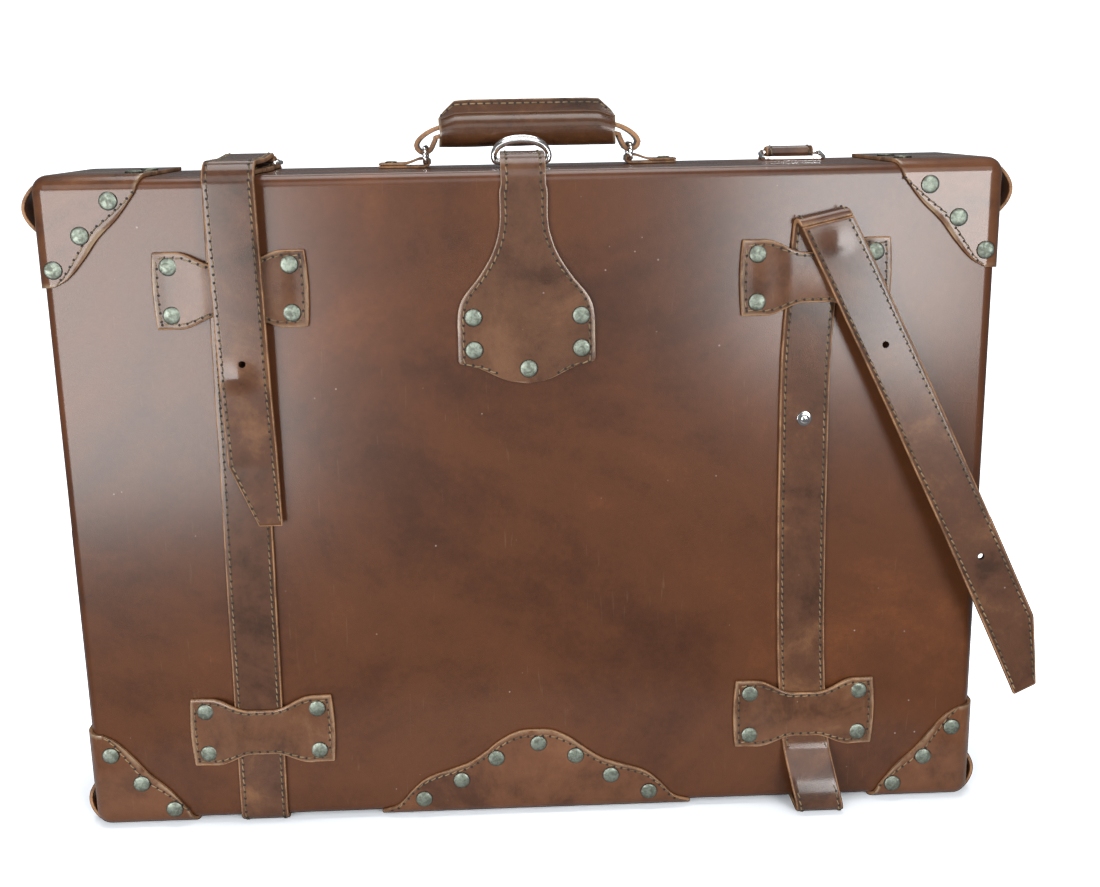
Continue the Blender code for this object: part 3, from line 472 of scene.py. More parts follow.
def curve_through(points, count):
    """Evenly spaced points on a smooth curve through these."""
    points = [Vector(p) for p in points]
    ends = [2 * points[0] - points[1]] + points + [2 * points[-1] - points[-2]]
    dense = []
    for a, b, c, d in zip(ends, ends[1:], ends[2:], ends[3:]):
        for i in range(16):
            u = i / 16
            squares = (2 * a - 5 * b + 4 * c - d) * u**2
            cubes = (3 * b - a - 3 * c + d) * u**3
            dense.append(0.5 * (2 * b + (c - a) * u + squares + cubes))
    dense.append(points[-1])
    return [along(dense, i / (count - 1)) for i in range(count)]


def along(points, share):
    """The point at this share of a polyline's length."""
    steps = [(b - a).length for a, b in zip(points, points[1:])]
    left = min(max(share, 0), 1) * sum(steps)
    for start, end, step in zip(points, points[1:], steps):
        if left <= step and step > 0:
            return start.lerp(end, left / step)
        left -= step
    return points[-1].copy()


def formed(name, columns, rows, place, surfaces, closed=False):
    """A flat grid blank, formed so that place(s, t) is where its point s across and t along ends up."""
    only_none()
    bpy.ops.mesh.primitive_grid_add(x_subdivisions=columns, y_subdivisions=rows, size=2)
    piece = bpy.context.object
    piece.name = name
    piece.data.name = name
    for spot in piece.data.vertices:
        spot.co = place((spot.co.x + 1) / 2, (spot.co.y + 1) / 2)
    bpy.ops.object.mode_set(mode="EDIT")
    bpy.ops.mesh.select_all(action="SELECT")
    bpy.ops.mesh.remove_doubles(threshold=0.02 * MM)
    if closed:
        bpy.ops.mesh.normals_make_consistent(inside=False)
    bpy.ops.object.mode_set(mode="OBJECT")
    outward = sum(f.normal.dot(f.center - CASE_MIDDLE) * f.area for f in piece.data.polygons)
    if outward < 0 and not closed:
        bpy.ops.object.mode_set(mode="EDIT")
        bpy.ops.mesh.flip_normals()
        bpy.ops.object.mode_set(mode="OBJECT")
    for surface in surfaces:
        piece.data.materials.append(surface)
    return piece


def only_none():
    if bpy.context.mode != "OBJECT":
        bpy.ops.object.mode_set(mode="OBJECT")
    bpy.ops.object.select_all(action="DESELECT")


def thicken(piece, wall, offset=-1.0):
    """Gives a formed skin its thickness, with raw leather on its cut edges, slightly eased."""
    finish_with(
        piece, "SOLIDIFY", thickness=wall, offset=offset, material_offset_rim=1
    )
    eased_by = min(0.9 * MM, wall * 0.33)
    finish_with(piece, "BEVEL", width=eased_by, segments=2, limit_method="ANGLE", angle_limit=1.0, material=1)
    smooth(piece, 42)


thread, tree, shader = blank_material("waxed_thread")
where = node(tree, "TexCoord").outputs["Object"]
twist = cloudy(tree, where, 1800.0, 3.0)
grime = cloudy(tree, where, 45.0, 4.0)
tint = mix(tree, span(tree, grime, 0.35, 0.65), (0.10, 0.070, 0.035, 1), (0.30, 0.215, 0.115, 1))
tree.links.new(tint, shader.inputs["Base Color"])
tree.links.new(span(tree, twist, 0.3, 0.7, 0.5, 0.8), shader.inputs["Roughness"])
bump = node(tree, "Bump", {"Height": twist, "Strength": 0.8, "Distance": 0.2 * MM})
tree.links.new(bump.outputs[0], shader.inputs["Normal"])

# The awl holes: a near-black disc between stitches, painted shade standing in for the dark inside of each
# hole.
painted_hole_shade, tree, shader = blank_material("awl_hole_painted_shade")
where = node(tree, "TexCoord").outputs["Object"]
tint = mix(tree, cloudy(tree, where, 700.0), (0.008, 0.005, 0.004, 1), (0.03, 0.016, 0.01, 1))
tree.links.new(tint, shader.inputs["Base Color"])
tree.links.new(span(tree, cloudy(tree, where, 900.0), 0.3, 0.7, 0.6, 0.9), shader.inputs["Roughness"])

STITCH_PITCH = 5.2 * MM
only_none()
bpy.ops.mesh.primitive_cylinder_add(
    vertices=6, radius=0.45 * MM, depth=4.2 * MM, rotation=(0, math.radians(90), 0)
)
stitch = bpy.context.object
bpy.ops.object.transform_apply()
bpy.ops.object.mode_set(mode="EDIT")
pick(stitch, "edges", lambda e: abs(e.verts[0].co.x - e.verts[1].co.x) > MM)
bpy.ops.mesh.subdivide(number_cuts=2)
bpy.ops.object.mode_set(mode="OBJECT")
for spot in stitch.data.vertices:
    spot.co.z += (0.28 - 0.75 * (spot.co.x / (2.2 * MM)) ** 2) * MM
stitch.data.materials.append(thread)
bpy.ops.object.shade_smooth()
only_none()
bpy.ops.mesh.primitive_circle_add(
    vertices=8, radius=0.95 * MM, fill_type="NGON", location=(-STITCH_PITCH / 2, 0, 0.06 * MM)
)
hole = bpy.context.object
hole.data.materials.append(painted_hole_shade)
bpy.ops.object.transform_apply()
stitch.select_set(True)
bpy.context.view_layer.objects.active = stitch
bpy.ops.object.join()
stitch_mesh = stitch.data
bpy.data.objects.remove(stitch)


def copies(name, pattern, places):
    """One piece that holds a copy of the pattern's mesh at each place."""
    bm = bmesh.new()
    for place in places:
        moved = pattern.copy()
        moved.transform(place)
        bm.from_mesh(moved)
        bpy.data.meshes.remove(moved)
    mesh = bpy.data.meshes.new(name)
    bm.to_mesh(mesh)
    bm.free()
    for surface in pattern.materials:
        mesh.materials.append(surface)
    made = bpy.data.objects.new(name, mesh)
    scene.collection.objects.link(made)
    return made


def seam(place, line, proud=0.0):
    """A matrix for each stitch of a seam. line(q) runs over the blank as (s, t) while q goes from 0 to 1."""
    count = 160
    walked = [place(*line(i / count)) for i in range(count + 1)]
    sums = [0.0]
    for a, b in zip(walked, walked[1:]):
        sums.append(sums[-1] + (b - a).length)
    stitches = max(int(sums[-1] / STITCH_PITCH), 1)
    made = []
    index = 0
    for k in range(stitches):
        goal = (k + 0.5) * sums[-1] / stitches
        while sums[index + 1] < goal and index < count - 1:
            index += 1
        share = (goal - sums[index]) / max(sums[index + 1] - sums[index], 1e-9)
        s, t = line((index + share) / count)
        e = 1e-3
        here = place(s, t)
        run = (walked[index + 1] - walked[index]).normalized()
        out = (place(min(s + e, 1), t) - place(max(s - e, 0), t)).cross(
            place(s, min(t + e, 1)) - place(s, max(t - e, 0))
        )
        if out.length == 0:
            continue
        out.normalize()
        if out.dot(here - CASE_MIDDLE) < 0:
            out.negate()
        side = out.cross(run).normalized()
        lean = Matrix.Rotation(math.radians(9), 4, "Z")
        basis = Matrix((run, side, side.cross(run) * -1 if side.cross(run).dot(out) < 0 else side.cross(run)))
        made.append(Matrix.Translation(here + out * proud) @ basis.transposed().to_4x4() @ lean)
    return made


def merge(piece, *others):
    """Joins the others into the piece, with their materials."""
    only(piece)
    for other in others:
        other.select_set(True)
    bpy.ops.object.join()


nickel, tree, shader = blank_material("antique_nickel_plate")
where = node(tree, "TexCoord").outputs["Object"]
patina = cloudy(tree, where, 260.0, 5.0, 0.65, 0.5)
spots = cloudy(tree, where, 1100.0, 3.0)
tint = mix(tree, span(tree, patina, 0.36, 0.62), (0.15, 0.165, 0.135, 1), (0.30, 0.34, 0.285, 1))
tint = mix(tree, calc(tree, "MULTIPLY", span(tree, spots, 0.55, 0.72), 0.5), tint, (0.10, 0.09, 0.06, 1))
height = calc(tree, "ADD", patina, spots)
bump = node(tree, "Bump", {"Height": height, "Strength": 0.35, "Distance": 0.15 * MM})
tree.links.new(tint, shader.inputs["Base Color"])
tree.links.new(span(tree, patina, 0.3, 0.7, 0.62, 0.45), shader.inputs["Roughness"])
tree.links.new(bump.outputs[0], shader.inputs["Normal"])
shader.inputs["Metallic"].default_value = 1.0

# The rivet's skirt and the outer rim of its head: dark tarnish, and also painted shade for the shadow ring
# round the rivet's foot.
skirt_tarnish_and_shade, tree, shader = blank_material("rivet_skirt_tarnish_and_painted_shade")
where = node(tree, "TexCoord").outputs["Object"]
patina = cloudy(tree, where, 600.0, 5.0, 0.65, 0.5)
tint = mix(tree, span(tree, patina, 0.4, 0.65), (0.035, 0.03, 0.022, 1), (0.17, 0.16, 0.12, 1))
tree.links.new(tint, shader.inputs["Base Color"])
tree.links.new(span(tree, patina, 0.3, 0.7, 0.6, 0.4), shader.inputs["Roughness"])
shader.inputs["Metallic"].default_value = 1.0

RIVET_RADIUS = 5.9 * MM
RIVET_SKIRT = 0.7 * MM
RIVET_DOME = [(0.25, 0.3), (0.45, 0.3), (0.8, 0.22), (1.2, 0.15), (1.2, 0.08), (0.9, 0.02)]
only_none()
bpy.ops.mesh.primitive_cylinder_add(
    vertices=22, radius=RIVET_RADIUS, depth=RIVET_SKIRT, location=(0, 0, RIVET_SKIRT / 2)
)
rivet = bpy.context.object
bpy.ops.object.transform_apply()
bpy.ops.object.mode_set(mode="EDIT")
pick(rivet, "faces", lambda f: f.normal.z > 0.9)
for inwards, rise in RIVET_DOME:
    bpy.ops.mesh.inset(thickness=inwards * MM, depth=rise * MM)
bpy.ops.object.mode_set(mode="OBJECT")
rivet.data.materials.append(nickel)
rivet.data.materials.append(skirt_tarnish_and_shade)
# The outer rim and underside take the dark skirt finish: tarnish, plus the painted shade of the rivet's
# shadow ring.
for face in rivet.data.polygons:
    out = Vector((face.center.x, face.center.y)).length
    face.material_index = 1 if out > RIVET_RADIUS - 0.45 * MM or face.normal.z < 0 else 0
bpy.ops.object.shade_smooth_by_angle(angle=math.radians(50))
rivet_mesh = rivet.data
bpy.data.objects.remove(rivet)


def standing_on(x, y, z, side):
    """Stands a rivet on the front (side -1) or the back (side 1), turned and leant a little by its place."""
    own = noise.noise(Vector((x, y, z)) * 137)
    lean = Matrix.Rotation(0.05 * own, 4, "X") @ Matrix.Rotation(6 * own, 4, "Z")
    return Matrix.Translation((x, y, z)) @ Matrix.Rotation(math.radians(-90 * side), 4, "X") @ lean


def rivets(name, places, body, *nodes):
    made = copies(name, rivet_mesh, places)
    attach(made, body)
    if nodes:
        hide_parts(*nodes)


def cap_place(side, way_x, top, rim):
    """Where the points of a cap's blank go: s along its wavy edge, t from there round to its rim."""
    wave = curve_through([Vector((a * MM, b * MM, 0)) for a, b in CAP_WAVE], 60)
    outer_y = (BACK if side > 0 else FRONT) + side * CAP_REACH
    inner = EDGE_RADIUS
    corner = math.pi / 2 * CAP_RADIUS
    straight = CAP_SIDE - inner
    corner_z = HEIGHT if top else 0.0
    way_z = 1 if top else -1

    def place(s, t):
        q = s * (2 * straight + corner)
        if q < straight:
            a, b, out_a, out_b = CAP_SIDE - q, inner, 0.0, -1.0
        elif q < straight + corner:
            angle = (q - straight) / CAP_RADIUS
            a, b, out_a, out_b = inner, inner, -math.sin(angle), -math.cos(angle)
        else:
            a, b, out_a, out_b = inner, inner + q - straight - corner, -1.0, 0.0
        start = along(wave, s)
        slide_a = 5.2 * MM * max(0, 1 - s / 0.1)
        slide_b = 1.5 * MM * max(0, 1 - (1 - s) / 0.1)
        if t < 0.4:
            u = t / 0.4
            a = start.x + (a - slide_a - start.x) * u
            b = start.y + (b - slide_b - start.y) * u
            depth = 0.0
        elif t < 0.7:
            angle = (t - 0.4) / 0.3 * math.pi / 2
            a += out_a * CAP_RADIUS * math.sin(angle) - slide_a * (1 - (t - 0.4) / 0.3)
            b += out_b * CAP_RADIUS * math.sin(angle) - slide_b * (1 - (t - 0.4) / 0.3)
            depth = CAP_RADIUS * (1 - math.cos(angle))
        else:
            a += out_a * CAP_RADIUS
            b += out_b * CAP_RADIUS
            depth = CAP_RADIUS + (abs(rim - outer_y) - CAP_RADIUS) * (t - 0.7) / 0.3
        return Vector((way_x * (HALF_WIDTH - a), outer_y - side * depth, corner_z - way_z * b))

    return place


def ear_place(side, way_x, top):
    """The pinched loop at a cap's side: s through its depth and t up it."""
    middle = HEIGHT - 19 * MM if top else 13.5 * MM
    half = (16 if top else 15) * MM
    bulge = (10 if top else 7) * MM
    root = HALF_WIDTH + GAP + CAP_WALL / 2

    def place(s, t):
        up = 2 * t - 1
        rise = math.cos(up * math.pi / 2) ** 0.8
        y = SPLIT + side * (6 + 23 * s) * MM
        return Vector((way_x * (root + bulge * rise), y, middle + up * half))

    return place


for half, side in (("lid", -1), ("base", 1)):
    for level in ("top", "bottom"):
        for hand, way_x in (("left", -1), ("right", 1)):
            name = f"{half}_cap_{level}_{hand}"
            top = level == "top"
            place = cap_place(side, way_x, top, SPLIT + side * (1.2 if top else 3.2) * MM)
            cap = formed(name, 64, 26, place, (trim_hide, trim_edge))
            thicken(cap, CAP_WALL)
            ear = formed(name + "_ear", 6, 20, ear_place(side, way_x, top), (trim_hide, trim_edge))
            thicken(ear, CAP_WALL)
            sewn = seam(place, lambda q: (0.02 + 0.96 * q, 0.045 + 0.03 * abs(2 * q - 1)))
            merge(cap, ear, copies(name + "_seam", stitch_mesh, sewn))
            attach(cap, half)
            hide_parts(f"{half}_corner_cap_{level}_{hand}")
            y = (BACK if side > 0 else FRONT) + side * (CAP_REACH - RIVET_SUNK)
            base_z = HEIGHT if top else 0.0
            way_z = -1 if top else 1
            heads = [
                standing_on(way_x * (HALF_WIDTH - a * MM), y, base_z + way_z * b * MM, side)
                for a, b in CAP_RIVETS[level]
            ]
            if top:
                x = way_x * (HALF_WIDTH - FLANGE_RIVET)
                over = (x, SPLIT + side * 20 * MM, HEIGHT + CAP_REACH - RIVET_SUNK)
                heads.append(Matrix.Translation(over))
            rivets(name + "_rivets", heads, half)


# The chins. A shaped guard takes the knocks at the middle of each bottom edge. It turns under the case, where
# it ends at the hinge, and is sewn along its wave and riveted.
CHIN_HALF = 110 * MM
CHIN_WAVE = [(0, 61.5), (12, 60.5), (25, 54), (37, 44.5), (49, 37), (75, 28), (87, 19), (98, 7), (110, 1)]
CHIN_RIVETS = [(-80, 11.4), (-53, 25), (-28, 41), (2, 51.3), (28, 41), (53, 25), (80, 11.4)]


def chin_place(side, rim):
    outer_y = (BACK if side > 0 else FRONT) + side * CAP_REACH
    wave = [Vector((x * MM, z * MM, 0)) for x, z in CHIN_WAVE]
    wave = curve_through([Vector((-wave[1].x, wave[1].y, 0))] + wave, 240)[20:]

    def top_at(x):
        for one, two in zip(wave, wave[1:]):
            if one.x <= x <= two.x:
                return one.y + (two.y - one.y) * (x - one.x) / max(two.x - one.x, 1e-9)
        return wave[-1].y

    def place(s, t):
        x = (2 * s - 1) * CHIN_HALF
        top = top_at(abs(x))
        if top >= EDGE_RADIUS:
            start = top - EDGE_RADIUS
        else:
            start = -CAP_RADIUS * math.asin((EDGE_RADIUS - top) / CAP_RADIUS)
        end = -CAP_RADIUS * math.pi / 2 - (abs(rim - outer_y) - CAP_RADIUS)
        v = start + (end - start) * t
        if v > 0:
            return Vector((x, outer_y, EDGE_RADIUS + v))
        angle = -v / CAP_RADIUS
        if angle < math.pi / 2:
            depth = CAP_RADIUS * (1 - math.cos(angle))
            return Vector((x, outer_y - side * depth, EDGE_RADIUS - CAP_RADIUS * math.sin(angle)))
        beyond = CAP_RADIUS * (angle - math.pi / 2)
        return Vector((x, outer_y - side * (CAP_RADIUS + beyond), -CAP_REACH))

    return place


for half, side in (("lid", -1), ("base", 1)):
    name = half + "_chin_guard"
    place = chin_place(side, SPLIT + side * 18 * MM)
    guard = formed(name, 110, 30, place, (trim_hide, trim_edge))
    thicken(guard, CAP_WALL)
    merge(guard, copies(name + "_seam", stitch_mesh, seam(place, lambda q: (0.03 + 0.94 * q, 0.055))))
    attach(guard, half)
    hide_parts(half + "_chin")
    y = (BACK if side > 0 else FRONT) + side * (CAP_REACH - RIVET_SUNK)
    rivets(name + "_rivets", [standing_on(x * MM, y, z * MM, side) for x, z in CHIN_RIVETS], half)


# The keepers. Each is a bow-tie of harness leather, arched over a strap and held by four rivets. The strap
# slides under it.
KEEPER_X = {"left": -190 * MM, "right": 190 * MM}
KEEPER_Z = {"upper": 376 * MM, "lower": 68 * MM}
KEEPER_HALF_LENGTH = 50 * MM
KEEPER_WALL = 2.5 * MM
STRAP = 3 * MM
STRAP_WIDTH = 33 * MM

keeper_hide = leather(
    "keeper_hide", (0.070, 0.027, 0.012), (0.14, 0.058, 0.027), (0.22, 0.105, 0.050), 0.36,
    clouds=16.0, shift=3.1, rub=(0.035, 0.06),
)


def eased(value, low, high):
    u = min(max((value - low) / (high - low), 0), 1)
    return u * u * (3 - 2 * u)


def keeper_place(x, z, side):
    skin = (BACK if side > 0 else FRONT) + side * (GAP + KEEPER_WALL)

    def place(s, t):
        u = (2 * s - 1) * KEEPER_HALF_LENGTH
        v = 2 * t - 1
        half = (16.5 + 8.5 * eased(abs(u), 8 * MM, 34 * MM)) * MM
        over = 1 - eased(abs(u), 16.5 * MM, 42 * MM)
        drawn = math.copysign(1.5 * MM * v * v * (abs(u) / KEEPER_HALF_LENGTH) ** 6, u)
        crown = 0.5 * MM * (1 - v * v) * over
        return Vector((x + u - drawn, skin + side * ((STRAP + GAP) * over + crown), z + v * half))

    return place


for half, side in (("lid", -1), ("base", 1)):
    for hand, x in KEEPER_X.items():
        for level, z in KEEPER_Z.items():
            name = f"{half}_bow_{level}_{hand}"
            place = keeper_place(x, z, side)
            bow = formed(name, 64, 20, place, (keeper_hide, trim_edge))
            thicken(bow, KEEPER_WALL)
            ends = [lambda q: (0.035, 0.1 + 0.8 * q), lambda q: (0.965, 0.9 - 0.8 * q)]
            sides = [lambda q: (0.04 + 0.92 * q, 0.075), lambda q: (0.96 - 0.92 * q, 0.925)]
            sewn = [spot for line in ends + sides for spot in seam(place, line)]
            merge(bow, copies(name + "_seam", stitch_mesh, sewn))
            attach(bow, half)
            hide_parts(f"{half}_keeper_{level}_{hand}")
            y = (BACK if side > 0 else FRONT) + side * (GAP + KEEPER_WALL - RIVET_SUNK)
            heads = [
                standing_on(x + u * 38.5 * MM, y, z + v * 15.7 * MM, side) for u in (-1, 1) for v in (-1, 1)
            ]
            rivets(name + "_rivets", heads, half)


# The straps. Two belts of bridle leather run right round the case, sewn along both edges. The left one
# passes its ring on top and hangs down again, buttoned on a stud; the right one hangs undone.
TOP_SKIN = HEIGHT + GAP + STRAP / 2
FRONT_SKIN = FRONT - GAP - STRAP / 2
UNDER_SKIN = -GAP - STRAP / 2
HINGE_CLEARANCE = 9.5 * MM
RING_BACK_Y = 30 * MM
RING_WIRE = 1.5 * MM
RING_BAR_Z = HEIGHT + GAP + STRAP + 0.2 * MM + RING_WIRE
BELT_STEP = 2.5 * MM

belt_hide = leather(
    "belt_hide", (0.050, 0.021, 0.011), (0.105, 0.044, 0.023), (0.20, 0.092, 0.042), 0.36,
    clouds=14.0, shift=5.3, rub=(0.05, 0.004), polish=0.17,
)


def bend(centre_y, centre_z, radius, start, end, steps=10):
    """Points on part of a circle in the YZ plane, from one angle to another in degrees."""
    angles = [math.radians(start + (end - start) * i / steps) for i in range(steps + 1)]
    return [(centre_y + radius * math.cos(a), centre_z + radius * math.sin(a)) for a in angles]


def round_case(side):
    """The way of a strap from the hinge under one half, round its edges and up to the split."""
    closed = BACK if side > 0 else FRONT
    centre = closed - side * EDGE_RADIUS
    radius = EDGE_RADIUS + GAP + STRAP / 2
    start, turned = (-90, -180) if side < 0 else (-90, 0)
    way = [(SPLIT + side * HINGE_CLEARANCE, UNDER_SKIN)]
    way += bend(centre, EDGE_RADIUS, radius, start, turned)
    way += [(closed + side * (GAP + STRAP / 2), z * MM) for z in range(60, 440, 20)]
    way += bend(centre, HEIGHT - EDGE_RADIUS, radius, -turned, -start)
    return way


def stations_on(way, middle):
    """Both edges of a strap at each point of its way."""
    half = Vector((STRAP_WIDTH / 2, 0, 0))
    spots = [Vector((middle(z), y, z)) for y, z in way]
    return [(spot - half, spot + half) for spot in spots]


def strip_place(stations, bumps=()):
    """place(s, t) for a strap through the stations. bumps are (place, height, radius) of what is under it."""
    middles = [(a + b) / 2 for a, b in stations]
    sums = [0.0]
    for one, two in zip(middles, middles[1:]):
        sums.append(sums[-1] + (two - one).length)

    def place(s, t):
        goal = t * sums[-1]
        index = 0
        while index < len(sums) - 2 and sums[index + 1] < goal:
            index += 1
        share = (goal - sums[index]) / max(sums[index + 1] - sums[index], 1e-9)
        left = stations[index][0].lerp(stations[index + 1][0], share)
        right = stations[index][1].lerp(stations[index + 1][1], share)
        spot = left.lerp(right, s)
        for centre, rise, radius in bumps:
            away = (spot - centre).length
            spot.y -= rise * math.exp(-((away / radius) ** 2))
        wander = 0.25 * MM * noise.noise(spot * 22)
        return spot + Vector((wander, 0, 0))

    place.length = sums[-1]
    return place


def belt(name, place, thickness=STRAP, width=STRAP_WIDTH, sewn=True):
    rows = max(int(place.length / BELT_STEP), 8)
    made = formed(name, 8, rows, place, (belt_hide, trim_edge))
    thicken(made, thickness, offset=0.0)
    if sewn:
        inset = 3.2 * MM / width
        margin = 3 * MM / place.length
        lines = [lambda q: (inset, margin + (1 - 2 * margin) * q)]
        lines += [lambda q: (1 - inset, margin + (1 - 2 * margin) * q)]
        spots = [spot for line in lines for spot in seam(place, line, thickness / 2)]
        merge(made, copies(name + "_seam", stitch_mesh, spots))
    return made


def left_strap_x(z):
    return (-193 + 6 * z / HEIGHT) * MM


def left_tail_x(z):
    return (-182.2 - 2.8 * (z / MM - 218) / 230) * MM


way = round_case(-1) + [(SPLIT - 1.2 * MM, TOP_SKIN)]
strap = belt("left_belt_front", strip_place(stations_on(way, left_strap_x)))
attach(strap, "lid")
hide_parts("left_strap_front")

loop_bar_y = RING_BACK_Y - 18 * MM
loop_turn = RING_BAR_Z - TOP_SKIN
over_z = RING_BAR_Z + loop_turn
LOOP_SLACK = 2.4 * MM
SHOULDER = 14 * MM
SHOULDER_Y = -58 * MM
way = [(SPLIT - 1.2 * MM, TOP_SKIN), (SPLIT + 10 * MM, TOP_SKIN)]
way += bend(loop_bar_y, RING_BAR_Z + LOOP_SLACK / 2, loop_turn + LOOP_SLACK / 2, -90, 90)
way += [(-20 * MM, over_z), (SHOULDER_Y, over_z)]
strap = belt("left_belt_loop", strip_place(stations_on(way, left_tail_x)))
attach(strap, "lid")
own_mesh(strap)
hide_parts("left_strap_loop")

LEFT_TIP = 218 * MM
LEFT_CUT = 260 * MM
left_button = Vector((-187 * MM, -70.5 * MM, 320.5 * MM))
way = bend(SHOULDER_Y, over_z - SHOULDER, SHOULDER, 90, 180)
hang = [
    (400, -71.6), (372, -71.3), (345, -71.2), (318, -70.4), (285, -68.4), (260, -67.2), (238, -66.7),
    (218, -66.4),
]
way += [(y * MM, z * MM) for z, y in hang]
stations = stations_on(way, left_tail_x)
for index, (left, right) in enumerate(stations):
    left.x += 17 * MM * min(max((LEFT_CUT - left.z) / (LEFT_CUT - LEFT_TIP), 0), 1)
place = strip_place(stations, [(left_button, 2.0 * MM, 6 * MM)])
tail = belt("left_belt_tail", place)


HOLE_RADIUS = 2.3 * MM


def punch(piece, spot, radius):
    """Cuts a round hole through a strap, from front to back."""
    only_none()
    bpy.ops.mesh.primitive_cylinder_add(vertices=20, radius=radius, depth=24 * MM, location=spot)
    tool = bpy.context.object
    tool.rotation_euler = Vector((0, 1, 0)).to_track_quat("Z", "Y").to_euler()
    bpy.ops.object.transform_apply()
    # The cutter carries the near-black painted hole shade.
    tool.data.materials.append(painted_hole_shade)
    finish_with(piece, "BOOLEAN", operation="DIFFERENCE", solver="EXACT", object=tool)
    bpy.data.objects.remove(tool)


punch(tail, (-184.2 * MM, -70.8 * MM, 329 * MM), HOLE_RADIUS)
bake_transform(tail)
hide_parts("left_strap_tail")


def right_strap_x(z):
    """The undone strap drifts: it leans out at the floor and again above its upper keeper."""
    if z > 312 * MM:
        return (184.5 + 6.5 * ((z / MM - 312) / 100) ** 1.3) * MM
    return (184.5 + 16 * math.exp(-max(z, 0) / (58 * MM))) * MM


FOLD_TILT = math.radians(12.2)
FOLD_LEAN = math.radians(2.0)
FOLD_RADIUS = 4.5 * MM
fold_along = Vector((math.cos(FOLD_TILT), 0, math.sin(FOLD_TILT)))
fold_up = Vector((-math.sin(FOLD_TILT), 0, math.cos(FOLD_TILT)))


def fold_station(angle):
    """Both edges of the strap part of the way round its slanting fold."""
    slant = FOLD_TILT + FOLD_LEAN
    creep = FOLD_RADIUS * angle * math.tan(slant)
    middle = Vector((191 * MM, 0, 411.5 * MM)) + fold_along * creep + fold_up * FOLD_RADIUS * math.sin(angle)
    middle.y = FRONT_SKIN - FOLD_RADIUS + FOLD_RADIUS * math.cos(angle)
    reach = fold_along * STRAP_WIDTH / 2 / math.cos(slant)
    return middle - reach, middle + reach


way = [(SPLIT - HINGE_CLEARANCE, UNDER_SKIN), (-64 * MM, UNDER_SKIN)]
way += bend(-69.5 * MM, 8.2 * MM, 10 * MM, -90, -180, 8)
way += [(-77.5 * MM, 17 * MM), (-73 * MM, 26 * MM), (-67 * MM, 35 * MM), (-63 * MM, 41.5 * MM)]
way += [(FRONT_SKIN, z * MM) for z in (47, 52, 60, 80, 110, 150, 200, 250, 300, 320, 340, 360, 380, 395)]
slack = curve_through([Vector((0, y, z)) for y, z in way[:14]], 40)
way = [(p.y, p.z) for p in slack] + way[14:]
stations = stations_on(way, right_strap_x) + [fold_station(math.pi * i / 14) for i in range(15)]
strap = belt("right_belt_front", strip_place(stations))
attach(strap, "lid")
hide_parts("right_strap_front")

heading = 2 * FOLD_TILT + FOLD_LEAN
down = Vector((math.sin(heading), 0, -math.cos(heading)))
across = Vector((math.cos(heading), 0, math.sin(heading)))
RIGHT_TAIL = 352 * MM
RIGHT_CUT = 46 * MM
RIGHT_HOLES = (89 * MM, 250 * MM)
start_left, start_right = fold_station(math.pi)
top = (start_left + start_right) / 2


def right_tail_at(s):
    middle = top + down * s + across * (-6 * MM * (s / RIGHT_TAIL) ** 2)
    middle.y -= 14 * MM * (s / RIGHT_TAIL) ** 0.8
    return middle


stations = [(start_left, start_right)]
steps = 44
for i in range(1, steps + 1):
    s = 12 * MM + (RIGHT_TAIL - 12 * MM) * i / steps
    middle = right_tail_at(s)
    cut = STRAP_WIDTH / 2 * min(max((s - RIGHT_TAIL + RIGHT_CUT) / RIGHT_CUT, 0), 1)
    stations.append((middle - across * STRAP_WIDTH / 2, middle + across * (STRAP_WIDTH / 2 - cut)))
place = strip_place(stations, [(right_tail_at(14 * MM), 1.1 * MM, 6 * MM)])
tail = belt("right_belt_tail", place)
for s in RIGHT_HOLES:
    punch(tail, right_tail_at(s), HOLE_RADIUS)
turn = start_left.lerp(start_right, 0.5)
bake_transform(tail)
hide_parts("right_strap_tail")

for hand, middle in (("left", left_strap_x), ("right", lambda z: KEEPER_X["right"])):
    way = round_case(1) + [(RING_BACK_Y + 8 * MM, TOP_SKIN)]
    way += bend(RING_BACK_Y, RING_BAR_Z, loop_turn, 270, 90)
    doubled = TOP_SKIN + STRAP + GAP
    way += [(RING_BACK_Y + 5 * MM, over_z - 0.5 * MM), (RING_BACK_Y + 10 * MM, doubled + 0.4 * MM)]
    way += [(RING_BACK_Y + 13 * MM, doubled), (RING_BACK_Y + 22 * MM, doubled)]
    strap = belt(hand + "_belt_back", strip_place(stations_on(way, middle)))
    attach(strap, "base")
    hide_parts(hand + "_strap_back")
    shift = right_strap_x if hand == "right" else left_strap_x
    near = shift(0)
    far = middle(0)
    half = Vector((STRAP_WIDTH / 2, 0, 0))
    ends = [
        Vector((near, SPLIT - HINGE_CLEARANCE, UNDER_SKIN)),
        Vector((far, SPLIT + HINGE_CLEARANCE, UNDER_SKIN)),
    ]
    middles = [ends[0].lerp(ends[1], i / 4) for i in range(5)]
    stations = [(spot - half, spot + half) for spot in middles]
    strap = belt(hand + "_belt_under", strip_place(stations), sewn=False)
    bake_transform(strap)


